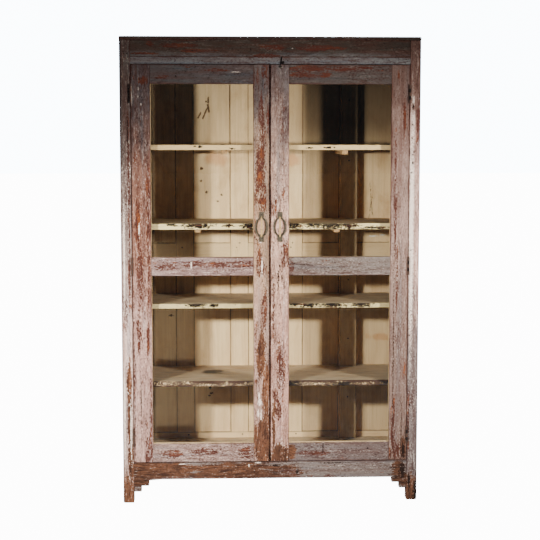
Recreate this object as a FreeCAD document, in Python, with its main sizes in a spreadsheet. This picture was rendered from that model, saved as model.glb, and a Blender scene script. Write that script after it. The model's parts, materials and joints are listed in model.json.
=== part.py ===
"""Glass-front cabinet: a two-door glazed case on four legs, millimetres, +Z up.

The origin is at floor level, in the middle of the whole object's width and depth.
The doors are at -Y. Every sub-part is an object of the document, and its sizes and
place follow the aliases of the sheet Sizes.
"""
import FreeCAD, Part
import math
import os
import Sketcher

SHELVES = ("1", "2", "3", "4")
SIDES = ("left", "right")
TOUCHING = 1e-4
X_WAY, Y_WAY, Z_WAY = FreeCAD.Vector(1, 0, 0), FreeCAD.Vector(0, 1, 0), FreeCAD.Vector(0, 0, 1)
UPRIGHT = FreeCAD.Rotation()
TO_FRONT, TO_BACK = FreeCAD.Rotation(Z_WAY, -Y_WAY), FreeCAD.Rotation(Z_WAY, Y_WAY)
TO_RIGHT, TO_LEFT = FreeCAD.Rotation(Z_WAY, X_WAY), FreeCAD.Rotation(Z_WAY, -X_WAY)

# Driving sizes, one cell of the sheet each
SIZES = {
    # case
    "overall_width": 1214, "overall_height": 1900, "case_depth": 450,
    "post_size": 45, "post_round": 12, "foot_wear": 4,
    "top_board_thick": 14, "top_board_round": 6,
    "frieze_height": 68, "frieze_thick": 22, "frieze_recess": 1.5,
    "head_rail_height": 28, "head_rail_depth": 40, "head_stop_drop": 12,
    "leg_height": 97.5, "apron_height": 70.5, "apron_depth": 40,
    "shoulder_drop": 4.5, "shoulder_flat": 64, "shoulder_slope": 45,
    "bracket_long": 62, "bracket_short": 31, "bracket_thick": 24,
    "bracket_upper_step": 22, "bracket_lower_step": 24, "bracket_round": 4, "bracket_recess": 1,
    "floor_thick": 18, "floor_rise": 6,
    # joints in the wood
    "tenon_length": 18, "tenon_thick": 10, "tenon_shoulder": 9,
    "panel_thick": 9, "panel_bite": 8,
    # sides
    "side_recess": 4, "side_thick": 24, "side_panel_set": 8, "side_top_height": 70,
    # back
    "back_thick": 21, "back_panel_set": 5, "back_top_height": 80, "back_bottom_height": 101,
    "back_mid_bottom": 950, "back_mid_height": 90, "muntin_width": 78, "muntin_spacing": 238,
    # shelves and what carries them
    "shelf_setback": 49, "shelf_gap": 0.5,
    "shelf_1_top": 1468, "shelf_1_thick": 21.5, "shelf_2_top": 1148, "shelf_2_thick": 25,
    "shelf_3_top": 819, "shelf_3_thick": 20, "shelf_4_top": 498.5, "shelf_4_thick": 24.5,
    "bearer_1_left": 187, "bearer_1_right": 305, "bearer_1_height": 18, "bearer_1_setback": 4,
    "bearer_2_left": 297, "bearer_2_right": 272.5, "bearer_2_height": 12, "bearer_2_setback": 4,
    "bearer_3_left": 298, "bearer_3_right": 298, "bearer_3_height": 16, "bearer_3_setback": 150,
    "bearer_4_left": 298, "bearer_4_right": 298, "bearer_4_height": 16, "bearer_4_setback": 150,
    "bearer_width": 24, "batten_width": 74, "batten_thick": 38,
    "runner_inset": 16, "runner_height": 18,
    # upright that the doors close against
    "centre_post_width": 44, "centre_post_depth": 20,
    # doors
    "door_thick": 24, "door_gap": 2, "door_side_gap": 1.5, "door_stop_gap": 2,
    "meeting_gap": 5, "meeting_offset": 3.5,
    "left_outer_stile": 77, "left_meeting_stile": 64.5,
    "right_outer_stile": 73.5, "right_meeting_stile": 75,
    "top_rail_height": 78, "mid_rail_height": 76, "mid_rail_bottom": 938.5, "bottom_rail_height": 78,
    "rebate_width": 8, "rebate_lip": 12, "glass_thick": 3, "glass_edge_gap": 1,
    # butt hinges
    "hinge_height": 74, "hinge_leaf_width": 22, "hinge_leaf_thick": 2,
    "hinge_barrel_radius": 4.25, "hinge_stand": 4.5, "hinge_knuckle_gap": 0.3,
    "hinge_pin_radius": 2, "hinge_running": 0.05, "hinge_pin_head": 3, "hinge_pin_head_height": 1.5,
    "hinge_top_drop": 118, "hinge_low_rise": 105,
    "screw_radius": 1.8, "screw_head_radius": 3.4, "screw_head_height": 1.8, "screw_length": 15,
    "screw_spread": 24, "screw_near": 7.5, "screw_far": 15,
    # pulls
    "pull_height": 1137, "pull_reach": 24, "pull_plate_thick": 3,
    "pull_ring_width": 54, "pull_ring_height": 79, "pull_ring_bar": 7,
    "pull_length": 122, "pull_lug_width": 20, "pull_lug_overlap": 3,
    "bow_width": 6, "bow_thick": 5, "bow_foot": 13, "bow_foot_thick": 2.5, "bow_soften": 1,
    "nail_radius": 1.7, "nail_head_radius": 4, "nail_length": 18, "nail_offset": 50,
    # latch
    "hook_inset": 41, "hook_drop": 11, "hook_ring_radius": 3.8, "hook_wire_radius": 1.7,
    "hook_shaft": 42, "hook_stand": 0.5, "hook_gap": 0.3, "hook_soften": 1,
    "hook_lean_angle": 12, "hook_eye_angle": 285,
    "stud_radius": 6, "stud_height": 5, "stud_rise": 20,
    "stud_eye_radius": 2, "stud_eye_depth": 2.5, "stud_shank_radius": 2, "stud_shank_length": 20,
}

# Places worked out from the sheet, as expressions
HALF = "(Sizes.overall_width / 2)"
FRONT = "((Sizes.pull_reach - Sizes.case_depth) / 2)"
BACK = "((Sizes.pull_reach + Sizes.case_depth) / 2)"
CASE_TOP = "(Sizes.overall_height - Sizes.top_board_thick)"
POST_IN = "(Sizes.overall_width / 2 - Sizes.post_size)"
APRON_TOP = "(Sizes.leg_height + Sizes.apron_height)"
FRIEZE_LOW = f"({CASE_TOP} - Sizes.frieze_height)"
HEAD_LOW = f"({FRIEZE_LOW} - Sizes.head_rail_height)"
FLOOR_TOP = f"({APRON_TOP} + Sizes.floor_rise)"
FLOOR_LOW = f"({FLOOR_TOP} - Sizes.floor_thick)"
DOOR_STOP_Y = f"({FRONT} + Sizes.door_thick + Sizes.door_stop_gap)"
DOOR_LOW = f"({APRON_TOP} + Sizes.door_gap)"
DOOR_TOP = f"({HEAD_LOW} - Sizes.door_gap)"
DOOR_HEIGHT = f"({DOOR_TOP} - {DOOR_LOW})"
DOOR_OUT = f"({POST_IN} - Sizes.door_side_gap)"
INNER_WIDTH = f"(2 * {POST_IN})"
SIDE_RUN = "(Sizes.case_depth - 2 * Sizes.post_size)"
SIDE_OUT = f"({HALF} - Sizes.side_recess)"
SIDE_IN = f"({SIDE_OUT} - Sizes.side_thick)"
SIDE_PANEL_IN = f"({SIDE_OUT} - Sizes.side_panel_set - Sizes.panel_thick)"
REAR_POST_Y = f"({BACK} - Sizes.post_size)"
BACK_IN = f"({BACK} - Sizes.back_thick)"
BACK_MID_TOP = "(Sizes.back_mid_bottom + Sizes.back_mid_height)"
BACK_TOP_LOW = f"({CASE_TOP} - Sizes.back_top_height)"
BACK_BOTTOM_TOP = "(Sizes.leg_height + Sizes.back_bottom_height)"
HINGE_X = f"({POST_IN} - Sizes.door_side_gap / 2)"
HINGE_Y = f"({FRONT} - Sizes.hinge_stand)"
# Places along a row, in spacings from its middle
NAIL_SHARES = ("-1", "1")
MUNTIN_SHARES = ("-1.5", "-0.5", "0.5", "1.5")
# Which of a hinge's knuckles belong to each leaf, counted from the lowest
KNUCKLES = {"case": ("0", "2", "4"), "door": ("1", "3")}
KNUCKLE_COUNT = sum(len(places) for places in KNUCKLES.values())
# Distance of each door's meeting edge from the middle of the case, towards its own side
MEETING = {
    "left": "(Sizes.meeting_offset + Sizes.meeting_gap / 2)",
    "right": "(Sizes.meeting_gap / 2 - Sizes.meeting_offset)",
}

doc = FreeCAD.newDocument("GlassFrontCabinet")
sheet = doc.addObject("Spreadsheet::Sheet", "Sizes")
sub_parts = []


def fill_sheet():
    """Write every driving size in a cell of its own, with its alias."""
    for row, (alias, value) in enumerate(SIZES.items(), start=1):
        sheet.set(f"A{row}", alias.replace("_", " "))
        sheet.set(f"B{row}", str(value))
        sheet.setAlias(f"B{row}", alias)
    doc.recompute()


def value_of(expression):
    """The present value of an expression."""
    return float(sheet.evalExpression(expression))


def keep(piece, node):
    """Name a finished sub-part, which is exported under that name."""
    piece.Label = node
    sub_parts.append(piece)
    return piece


def put(piece, at, turn=UPRIGHT):
    """Place a piece whose own +Z is turned to point the way that it should."""
    piece.Placement = FreeCAD.Placement(FreeCAD.Vector(), turn)
    for axis, where in zip("xyz", at):
        piece.setExpression(f"Placement.Base.{axis}", where)
    return piece


def primitive(kind, name, at, turn=UPRIGHT, **sizes):
    """A Part primitive whose sizes are expressions."""
    piece = doc.addObject(f"Part::{kind}", name)
    for prop, expression in sizes.items():
        piece.setExpression(prop, expression)
    return put(piece, at, turn)


def box(name, at, size):
    """A box from its lowest corner and its size along X, Y and Z."""
    return primitive("Box", name, at, Length=size[0], Width=size[1], Height=size[2])


def fuse(name, pieces):
    """One solid from several."""
    piece = doc.addObject("Part::MultiFuse", name)
    piece.Shapes = pieces
    return piece


def cut(name, base, tools):
    """A piece less everything that seats in it."""
    piece = doc.addObject("Part::Cut", name)
    piece.Base = base
    piece.Tool = tools[0] if len(tools) == 1 else fuse(f"{name}_room", tools)
    return piece


def group(name, pieces):
    """Separate solids that share one node."""
    piece = doc.addObject("Part::Compound", name)
    piece.Links = pieces
    return piece


def low_x(side, inside, width):
    """Lowest X of a piece that starts at a distance from the middle, on one side."""
    return inside if side == "right" else f"(-({inside}) - ({width}))"


def at_x(side, distance):
    """X of a point at a distance from the middle, on one side."""
    return distance if side == "right" else f"(-({distance}))"


def tenon_bar(name, at, size, run, thin):
    """A bar along a rail whose ends stand out as its tenons.

    run is the axis along the rail, and thin the one across its thickness.
    """
    lows, lengths = [], []
    for axis, low, length in zip("xyz", at, size):
        if axis == run:
            lows.append(f"({low} - Sizes.tenon_length)")
            lengths.append(f"({length} + 2 * Sizes.tenon_length)")
        elif axis == thin:
            lows.append(f"({low} + ({length} - Sizes.tenon_thick) / 2)")
            lengths.append("Sizes.tenon_thick")
        else:
            lows.append(f"({low} + Sizes.tenon_shoulder)")
            lengths.append(f"({length} - 2 * Sizes.tenon_shoulder)")
    return box(name, lows, lengths)


def new_body(name):
    """An empty body and its origin planes by role."""
    body = doc.addObject("PartDesign::Body", name)
    planes = {feature.Role: feature for feature in body.Origin.OriginFeatures}
    return body, planes


def straight(sketch, start, end):
    """Add a line and return its number."""
    return sketch.addGeometry(Part.LineSegment(start, end), False)


def curved(sketch, start, end, chord, rise):
    """Add an arc that stands out by rise to the right of its chord, and bind its radius."""
    middle = (start + end) * 0.5
    along = (end - start).normalize()
    aside = FreeCAD.Vector(along.y, -along.x, 0)
    crown = middle + aside * value_of(rise)
    # A sketch counts an arc's ends anticlockwise
    if (crown - start).cross(end - crown).z < 0:
        start, end = end, start
    number = sketch.addGeometry(Part.Arc(start, crown, end), False)
    radius = f"((({chord}) / 2)^2 + abs({rise})^2) / (2 * abs({rise}))"
    index = sketch.addConstraint(Sketcher.Constraint("Radius", number, value_of(radius)))
    sketch.setExpression(f"Constraints[{index}]", radius)
    return number


def starts_at(sketch, number, point):
    """Which end of a piece of outline lies at a point."""
    first = sketch.Geometry[number].StartPoint
    return 1 if first.distanceToPoint(point) < TOUCHING else 2


def outline(body, plane, name, points, arcs=None):
    """A closed sketch whose corners are bound to expressions.

    arcs maps the number of a corner to the chord and rise of the arc that starts there.
    """
    arcs = arcs or {}
    sketch = body.newObject("Sketcher::SketchObject", name)
    sketch.AttachmentSupport = [(plane, "")]
    sketch.MapMode = "FlatFace"
    corners = [FreeCAD.Vector(value_of(x), value_of(y), 0) for x, y in points]
    numbers = []
    for index, start in enumerate(corners):
        end = corners[(index + 1) % len(corners)]
        if index in arcs:
            numbers.append(curved(sketch, start, end, *arcs[index]))
        else:
            numbers.append(straight(sketch, start, end))
    for index, (number, corner) in enumerate(zip(numbers, corners)):
        here = starts_at(sketch, number, corner)
        before = numbers[index - 1]
        there = starts_at(sketch, before, corner)
        sketch.addConstraint(Sketcher.Constraint("Coincident", before, there, number, here))
        for kind, expression in zip(("DistanceX", "DistanceY"), points[index]):
            bound = Sketcher.Constraint(kind, -1, 1, number, here, value_of(expression))
            place = sketch.addConstraint(bound)
            sketch.setExpression(f"Constraints[{place}]", expression)
    return sketch


def pad(body, sketch, name, length, turned=False):
    """Raise a sketch by a length."""
    feature = body.newObject("PartDesign::Pad", name)
    feature.Profile = sketch
    feature.setExpression("Length", length)
    feature.Reversed = turned
    doc.recompute()
    return feature


def edges_where(shape, test):
    """Names of the edges whose middle passes a test."""
    names = []
    for number, edge in enumerate(shape.Edges, start=1):
        middle = edge.valueAt((edge.FirstParameter + edge.LastParameter) / 2)
        if test(middle, edge):
            names.append(f"Edge{number}")
    return names


def soften(body, base, name, radius, test):
    """Round the edges of a body's feature that pass a test."""
    feature = body.newObject("PartDesign::Fillet", name)
    feature.Base = (base, edges_where(base.Shape, test))
    feature.setExpression("Radius", radius)
    doc.recompute()
    return feature


def near(a, b):
    """Whether two lengths are the same."""
    return abs(a - b) < TOUCHING


def post_blank(name, x, y, angle):
    """A square post from its outer corner, which is rounded, with a worn foot."""
    body, planes = new_body(name)
    size = "Sizes.post_size"
    corners = [("0", "0"), (size, "0"), (size, size), ("0", size)]
    section = outline(body, planes["XY_Plane"], f"{name}_section", corners)
    shaft = pad(body, section, f"{name}_shaft", CASE_TOP)
    rounded = soften(body, shaft, f"{name}_round", "Sizes.post_round",
                     lambda point, edge: near(point.x, 0) and near(point.y, 0))
    soften(body, rounded, f"{name}_wear", "Sizes.foot_wear", lambda point, edge: near(point.z, 0))
    turn = FreeCAD.Rotation(Z_WAY, angle)
    body.Placement = FreeCAD.Placement(FreeCAD.Vector(), turn)
    body.setExpression("Placement.Base.x", x)
    body.setExpression("Placement.Base.y", y)
    return body


def post_blanks():
    """The four posts before their mortises and grooves."""
    return {
        "front_post_left": post_blank("front_left", f"-{HALF}", FRONT, 0),
        "front_post_right": post_blank("front_right", HALF, FRONT, 90),
        "rear_post_right": post_blank("rear_right", HALF, BACK, 180),
        "rear_post_left": post_blank("rear_left", f"-{HALF}", BACK, 270),
    }


def top_board():
    """The board on top, flush all round, its upper edges rounded."""
    body, planes = new_body("top")
    width, depth = "Sizes.overall_width", "Sizes.case_depth"
    corners = [("0", "0"), (width, "0"), (width, depth), ("0", depth)]
    plan = outline(body, planes["XY_Plane"], "top_plan", corners)
    board = pad(body, plan, "top_raise", "Sizes.top_board_thick")
    thick = value_of("Sizes.top_board_thick")
    soften(body, board, "top_soften", "Sizes.top_board_round",
           lambda point, edge: near(point.z, thick))
    keep(put(body, (f"-{HALF}", FRONT, CASE_TOP)), "top_board")


def front_rails():
    """Frieze board and head rail between the front posts; returns their tenon bars."""
    frieze_at = (f"-{POST_IN}", f"({FRONT} + Sizes.frieze_recess)", FRIEZE_LOW)
    frieze_size = (INNER_WIDTH, "Sizes.frieze_thick", "Sizes.frieze_height")
    frieze_bar = tenon_bar("frieze_tenons", frieze_at, frieze_size, "x", "y")
    keep(fuse("frieze", [box("frieze_blank", frieze_at, frieze_size), frieze_bar]), "frieze_board")

    head_at = (f"-{POST_IN}", FRONT, HEAD_LOW)
    head_size = (INNER_WIDTH, "Sizes.head_rail_depth", "Sizes.head_rail_height")
    head_bar = tenon_bar("head_tenons", head_at, head_size, "x", "y")
    stop_depth = f"({FRONT} + Sizes.head_rail_depth - {DOOR_STOP_Y})"
    stop = box("head_stop", (f"-{POST_IN}", DOOR_STOP_Y, f"({HEAD_LOW} - Sizes.head_stop_drop)"),
               (INNER_WIDTH, stop_depth, "Sizes.head_stop_drop"))
    head = fuse("head_whole", [box("head_blank", head_at, head_size), head_bar, stop])
    return frieze_bar, head_bar, head


def apron(floor):
    """The bottom front rail, with a shoulder at its left end and a ledge for the floor."""
    body, planes = new_body("apron_blank")
    drop, height = "Sizes.shoulder_drop", "(Sizes.apron_height + Sizes.shoulder_drop)"
    corners = [("0", "0"), ("Sizes.shoulder_flat", "0"),
               ("(Sizes.shoulder_flat + Sizes.shoulder_slope)", drop),
               (INNER_WIDTH, drop), (INNER_WIDTH, height), ("0", height)]
    face = outline(body, planes["XZ_Plane"], "apron_face", corners)
    pad(body, face, "apron_raise", "Sizes.apron_depth")
    put(body, (f"-{POST_IN}", f"({FRONT} + Sizes.apron_depth)", f"(Sizes.leg_height - {drop})"))
    at = (f"-{POST_IN}", FRONT, "Sizes.leg_height")
    size = (INNER_WIDTH, "Sizes.apron_depth", "Sizes.apron_height")
    bar = tenon_bar("apron_tenons", at, size, "x", "y")
    keep(cut("apron", fuse("apron_whole", [body, bar]), [floor]), "apron_rail")
    return bar


def bracket(side):
    """A stepped bracket in the corner between a front post and the apron."""
    body, planes = new_body(f"bracket_{side}")
    long, short = "Sizes.bracket_long", "Sizes.bracket_short"
    step = "Sizes.bracket_lower_step"
    # The apron stands lower over the left bracket, by its shoulder
    drop = "Sizes.shoulder_drop" if side == "left" else "0"
    height = f"({step} + Sizes.bracket_upper_step)"
    corners = [("0", "0"), (short, "0"), (short, step), (long, step), (long, height), ("0", height)]
    if side == "right":
        corners = [(f"({long} - {x})", z) for x, z in reversed(corners)]
    face = outline(body, planes["XZ_Plane"], f"bracket_{side}_face", corners)
    block = pad(body, face, f"bracket_{side}_raise", "Sizes.bracket_thick")
    short_x, long_x = value_of(short), value_of(long)
    if side == "right":
        short_x, long_x = long_x - short_x, 0
    soften(body, block, f"bracket_{side}_soften", "Sizes.bracket_round",
           lambda point, edge: (near(point.x, short_x) and near(point.z, 0))
           or (near(point.x, long_x) and near(point.z, value_of(step))))
    y = f"({FRONT} + Sizes.bracket_recess + Sizes.bracket_thick)"
    return put(body, (low_x(side, f"({POST_IN} - {long})", long), y,
                      f"(Sizes.leg_height - {drop} - {height})"))


def side_rails(side):
    """Top, middle and bottom rail of one side, with their panels' grooves to cut."""
    tiers = {
        "top": (f"({CASE_TOP} - Sizes.side_top_height)", "Sizes.side_top_height"),
        "mid": ("Sizes.back_mid_bottom", "Sizes.back_mid_height"),
        "bottom": ("Sizes.leg_height", f"({FLOOR_LOW} - Sizes.leg_height)"),
    }
    x = low_x(side, SIDE_IN, "Sizes.side_thick")
    rails, bars = {}, []
    for tier, (low, height) in tiers.items():
        at = (x, f"({FRONT} + Sizes.post_size)", low)
        size = ("Sizes.side_thick", SIDE_RUN, height)
        name = f"side_{tier}_{side}"
        bar = tenon_bar(f"{name}_tenons", at, size, "y", "x")
        rails[tier] = fuse(f"{name}_whole", [box(f"{name}_blank", at, size), bar])
        bars.append(bar)
    return rails, bars


def side_panels(side):
    """Upper and lower panel of one side, which reach into the grooves round them."""
    bite = "Sizes.panel_bite"
    x = low_x(side, SIDE_PANEL_IN, "Sizes.panel_thick")
    tiers = {
        "upper": (BACK_MID_TOP, f"({CASE_TOP} - Sizes.side_top_height)"),
        "lower": (FLOOR_LOW, "Sizes.back_mid_bottom"),
    }
    panels = []
    for tier, (low, high) in tiers.items():
        at = (x, f"({FRONT} + Sizes.post_size - {bite})", f"({low} - {bite})")
        size = ("Sizes.panel_thick", f"({SIDE_RUN} + 2 * {bite})", f"({high} - {low} + 2 * {bite})")
        panels.append(box(f"side_panel_{tier}_{side}", at, size))
    return panels


def back_rails():
    """Top, middle and bottom rail of the back, and their tenon bars."""
    tiers = {
        "top": (BACK_TOP_LOW, "Sizes.back_top_height"),
        "mid": ("Sizes.back_mid_bottom", "Sizes.back_mid_height"),
        "bottom": ("Sizes.leg_height", "Sizes.back_bottom_height"),
    }
    rails, bars = {}, []
    for tier, (low, height) in tiers.items():
        at = (f"-{POST_IN}", BACK_IN, low)
        size = (INNER_WIDTH, "Sizes.back_thick", height)
        bar = tenon_bar(f"back_{tier}_tenons", at, size, "x", "y")
        rails[tier] = fuse(f"back_{tier}_whole", [box(f"back_{tier}_blank", at, size), bar])
        bars.append(bar)
    return rails, bars


def muntin_centres():
    """X of the four muntins, from left to right."""
    return [f"({share} * Sizes.muntin_spacing)" for share in MUNTIN_SHARES]


def back_panels():
    """Ten panels in two tiers, which reach into the grooves round them."""
    bite, half = "Sizes.panel_bite", "Sizes.muntin_width / 2"
    centres = muntin_centres()
    lows = [f"-{POST_IN}"] + [f"({centre} + {half})" for centre in centres]
    highs = [f"({centre} - {half})" for centre in centres] + [POST_IN]
    tiers = {
        "lower": (BACK_BOTTOM_TOP, "Sizes.back_mid_bottom"),
        "upper": (BACK_MID_TOP, BACK_TOP_LOW),
    }
    panels = []
    for tier, (low, high) in tiers.items():
        for number, (left, right) in enumerate(zip(lows, highs), start=1):
            at = (f"({left} - {bite})", f"({BACK_IN} + Sizes.back_panel_set)", f"({low} - {bite})")
            size = (f"({right} - {left} + 2 * {bite})", "Sizes.panel_thick",
                    f"({high} - {low} + 2 * {bite})")
            panels.append(box(f"back_panel_{tier}_{number}", at, size))
    return panels


def muntin_blanks():
    """Four uprights of the back, tenoned into its top and bottom rails."""
    blanks, bars = [], []
    for number, centre in enumerate(muntin_centres(), start=1):
        at = (f"({centre} - Sizes.muntin_width / 2)", BACK_IN, BACK_BOTTOM_TOP)
        size = ("Sizes.muntin_width", "Sizes.back_thick", f"({BACK_TOP_LOW} - {BACK_BOTTOM_TOP})")
        bar = tenon_bar(f"muntin_{number}_tenons", at, size, "z", "y")
        blanks.append(fuse(f"muntin_{number}_whole", [box(f"muntin_{number}_blank", at, size), bar]))
        bars.append(bar)
    return blanks, bars


def back_frame(panels):
    """Rails and muntins of the back, halved over each other at the middle rail."""
    rails, rail_bars = back_rails()
    muntins, muntin_bars = muntin_blanks()
    half = "(Sizes.back_thick / 2)"
    grooves = group("back_grooves", panels)
    rail_half = box("back_mid_half", (f"-{POST_IN}", f"({BACK_IN} + {half})", "Sizes.back_mid_bottom"),
                    (INNER_WIDTH, half, "Sizes.back_mid_height"))
    muntin_halves = []
    for number, centre in enumerate(muntin_centres(), start=1):
        at = (f"({centre} - Sizes.muntin_width / 2)", BACK_IN, "Sizes.back_mid_bottom")
        size = ("Sizes.muntin_width", half, "Sizes.back_mid_height")
        muntin_halves.append(box(f"muntin_{number}_half", at, size))
    keep(cut("back_top", rails["top"], [grooves] + muntin_bars), "back_rail_top")
    keep(cut("back_mid", rails["mid"], [grooves] + muntin_halves), "back_rail_mid")
    keep(cut("back_bottom", rails["bottom"], [grooves] + muntin_bars), "back_rail_bottom")
    finished = [cut(f"muntin_{number}", muntin, [grooves, rail_half])
                for number, muntin in enumerate(muntins, start=1)]
    keep(group("muntins", finished), "back_muntins")
    keep(group("panels", panels), "back_panels")
    return rail_bars, grooves


def room_round_uprights():
    """What the shelves are notched for: rear posts and batten, with a gap all round."""
    gap, size = "Sizes.shelf_gap", "Sizes.post_size"
    rooms = []
    for side in SIDES:
        at = (low_x(side, f"({POST_IN} - {gap})", size), f"({REAR_POST_Y} - {gap})", "0")
        rooms.append(box(f"rear_post_room_{side}", at, (size, size, CASE_TOP)))
    inside, width = batten_place(gap)
    at = (inside, f"({BACK_IN} - Sizes.batten_thick - {gap})", "0")
    rooms.append(box("batten_room", at, (width, f"(Sizes.batten_thick + {gap})", CASE_TOP)))
    return rooms


def batten_place(grow="0"):
    """Distance of the batten's inner edge from the middle, and its width, grown by a gap."""
    inside = f"({MUNTIN_SHARES[-1]} * Sizes.muntin_spacing - Sizes.batten_width / 2 - {grow})"
    return inside, f"(Sizes.batten_width + 2 * {grow})"


def centre_post():
    """Upright behind the gap between the doors, from the floor board to the head rail's stop."""
    at = ("(-Sizes.meeting_offset - Sizes.centre_post_width / 2)", DOOR_STOP_Y, FLOOR_TOP)
    height = f"({HEAD_LOW} - Sizes.head_stop_drop - {FLOOR_TOP})"
    size = ("Sizes.centre_post_width", "Sizes.centre_post_depth", height)
    keep(box("middle_post", at, size), "centre_post")


def shelf_batten():
    """Upright planted on the right of the back, from the floor board to the top."""
    inside, width = batten_place()
    at = (inside, f"({BACK_IN} - Sizes.batten_thick)", FLOOR_TOP)
    size = (width, "Sizes.batten_thick", f"({CASE_TOP} - {FLOOR_TOP})")
    keep(box("batten", at, size), "shelf_batten")


def shelves(rooms):
    """Four fixed shelves, notched round the rear posts and the batten."""
    half = f"({SIDE_IN} - Sizes.shelf_gap)"
    depth = f"({BACK_IN} - {FRONT} - Sizes.shelf_setback)"
    for number in SHELVES:
        top, thick = f"Sizes.shelf_{number}_top", f"Sizes.shelf_{number}_thick"
        at = (f"-{half}", f"({FRONT} + Sizes.shelf_setback)", f"({top} - {thick})")
        blank = box(f"shelf_{number}_blank", at, (f"(2 * {half})", depth, thick))
        keep(cut(f"shelf_{number}_cut", blank, rooms), f"shelf_{number}")


def shelf_supports():
    """Bearers under the shelves and runners under their ends."""
    bearers, runners = [], []
    for number in SHELVES:
        low = f"(Sizes.shelf_{number}_top - Sizes.shelf_{number}_thick)"
        bearer = f"Sizes.bearer_{number}"
        for side in SIDES:
            y = f"({FRONT} + Sizes.shelf_setback + {bearer}_setback)"
            inside = f"({bearer}_{side} - Sizes.bearer_width / 2)"
            at = (low_x(side, inside, "Sizes.bearer_width"), y, f"({low} - {bearer}_height)")
            size = ("Sizes.bearer_width", f"({BACK_IN} - {y})", f"{bearer}_height")
            bearers.append(box(f"bearer_{number}_{side}", at, size))
            width = f"({SIDE_IN} - {POST_IN} + Sizes.runner_inset)"
            at = (low_x(side, f"({SIDE_IN} - {width})", width), f"({FRONT} + Sizes.post_size)",
                  f"({low} - Sizes.runner_height)")
            runners.append(box(f"runner_{number}_{side}", at, (width, SIDE_RUN, "Sizes.runner_height")))
    keep(group("bearers", bearers), "shelf_bearers")
    keep(group("runners", runners), "shelf_runners")


def floor_board():
    """The case's floor, which the doors also close against."""
    at = (f"-{SIDE_PANEL_IN}", DOOR_STOP_Y, FLOOR_LOW)
    size = (f"(2 * {SIDE_PANEL_IN})", f"({BACK_IN} - {DOOR_STOP_Y})", "Sizes.floor_thick")
    blank = box("floor_blank", at, size)
    corners = []
    post = "Sizes.post_size"
    for side in SIDES:
        x = low_x(side, POST_IN, post)
        corners.append(box(f"floor_front_notch_{side}", (x, FRONT, "0"), (post, post, CASE_TOP)))
        corners.append(box(f"floor_rear_notch_{side}", (x, REAR_POST_Y, "0"), (post, post, CASE_TOP)))
    return keep(cut("floor", blank, corners), "floor_board")


def hinge_centres():
    """Heights of the middles of one door's hinges."""
    return {
        "top": f"({DOOR_TOP} - Sizes.hinge_top_drop)",
        "mid": "(Sizes.mid_rail_bottom + Sizes.mid_rail_height / 2)",
        "low": f"({DOOR_LOW} + Sizes.hinge_low_rise)",
    }


def leaf(name, side, owner, centre):
    """One hinge leaf: a plate let into the wood, and its knuckles round the pin."""
    thick, height = "Sizes.hinge_leaf_thick", "Sizes.hinge_height"
    half_gap = "Sizes.door_side_gap / 2"
    inside = f"({HINGE_X} + {half_gap})" if owner == "case" else f"({HINGE_X} - {half_gap} - {thick})"
    x = low_x(side, inside, thick)
    low = f"({centre} - {height} / 2)"
    parts = [box(f"{name}_plate", (x, FRONT, low), (thick, "Sizes.hinge_leaf_width", height))]
    gap = "Sizes.hinge_knuckle_gap"
    pitch = f"(({height} + {gap}) / {KNUCKLE_COUNT})"
    for place in KNUCKLES[owner]:
        z = f"({low} + {place} * {pitch})"
        length = f"({pitch} - {gap})"
        parts.append(box(f"{name}_web_{place}", (x, HINGE_Y, z), (thick, "Sizes.hinge_stand", length)))
        parts.append(primitive("Cylinder", f"{name}_barrel_{place}", (at_x(side, HINGE_X), HINGE_Y, z),
                               Radius="Sizes.hinge_barrel_radius", Height=length))
    bore = primitive("Cylinder", f"{name}_bore", (at_x(side, HINGE_X), HINGE_Y, low),
                     Radius="(Sizes.hinge_pin_radius + Sizes.hinge_running)", Height=height)
    return parts[0], fuse(f"{name}_solid", parts), bore


def leaf_screws(name, side, owner, centre):
    """Three countersunk screws through one leaf, pointing into the wood."""
    spread = "Sizes.screw_spread"
    places = [(f"({centre} - {spread})", "Sizes.screw_far"), (centre, "Sizes.screw_near"),
              (f"({centre} + {spread})", "Sizes.screw_far")]
    face = POST_IN if owner == "case" else DOOR_OUT
    outward = (side == "right") == (owner == "case")
    turn = TO_RIGHT if outward else TO_LEFT
    screws = []
    for number, (z, inset) in enumerate(places, start=1):
        at = (at_x(side, face), f"({FRONT} + {inset})", z)
        head = primitive("Cone", f"{name}_head_{number}", at, turn, Radius1="Sizes.screw_head_radius",
                         Radius2="Sizes.screw_radius", Height="Sizes.screw_head_height")
        shank = primitive("Cylinder", f"{name}_shank_{number}", at, turn, Radius="Sizes.screw_radius",
                          Height="Sizes.screw_length")
        screws.append(fuse(f"{name}_{number}", [head, shank]))
    return screws


def hinge_set(side, owner):
    """The three leaves of one door on the case's or the door's side, with their screws."""
    plates, leaves, screws = [], [], []
    for tier, centre in hinge_centres().items():
        name = f"{side}_{owner}_{tier}"
        plate, solid, bore = leaf(f"leaf_{name}", side, owner, centre)
        mine = leaf_screws(f"screw_{name}", side, owner, centre)
        leaves.append(cut(f"leaf_{name}", solid, [bore] + mine))
        plates.append(plate)
        screws += mine
    return plates, leaves, screws


def hinge_pins():
    """A loose pin with a button head in each hinge."""
    pins = []
    for side in SIDES:
        for tier, centre in hinge_centres().items():
            low = f"({centre} - Sizes.hinge_height / 2)"
            top = f"({centre} + Sizes.hinge_height / 2)"
            x = at_x(side, HINGE_X)
            shaft = primitive("Cylinder", f"pin_{side}_{tier}_shaft", (x, HINGE_Y, low),
                              Radius="Sizes.hinge_pin_radius", Height="Sizes.hinge_height")
            head = primitive("Cylinder", f"pin_{side}_{tier}_head", (x, HINGE_Y, top),
                             Radius="Sizes.hinge_pin_head", Height="Sizes.hinge_pin_head_height")
            pins.append(fuse(f"pin_{side}_{tier}", [shaft, head]))
    keep(group("pins", pins), "hinge_pins")


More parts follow.
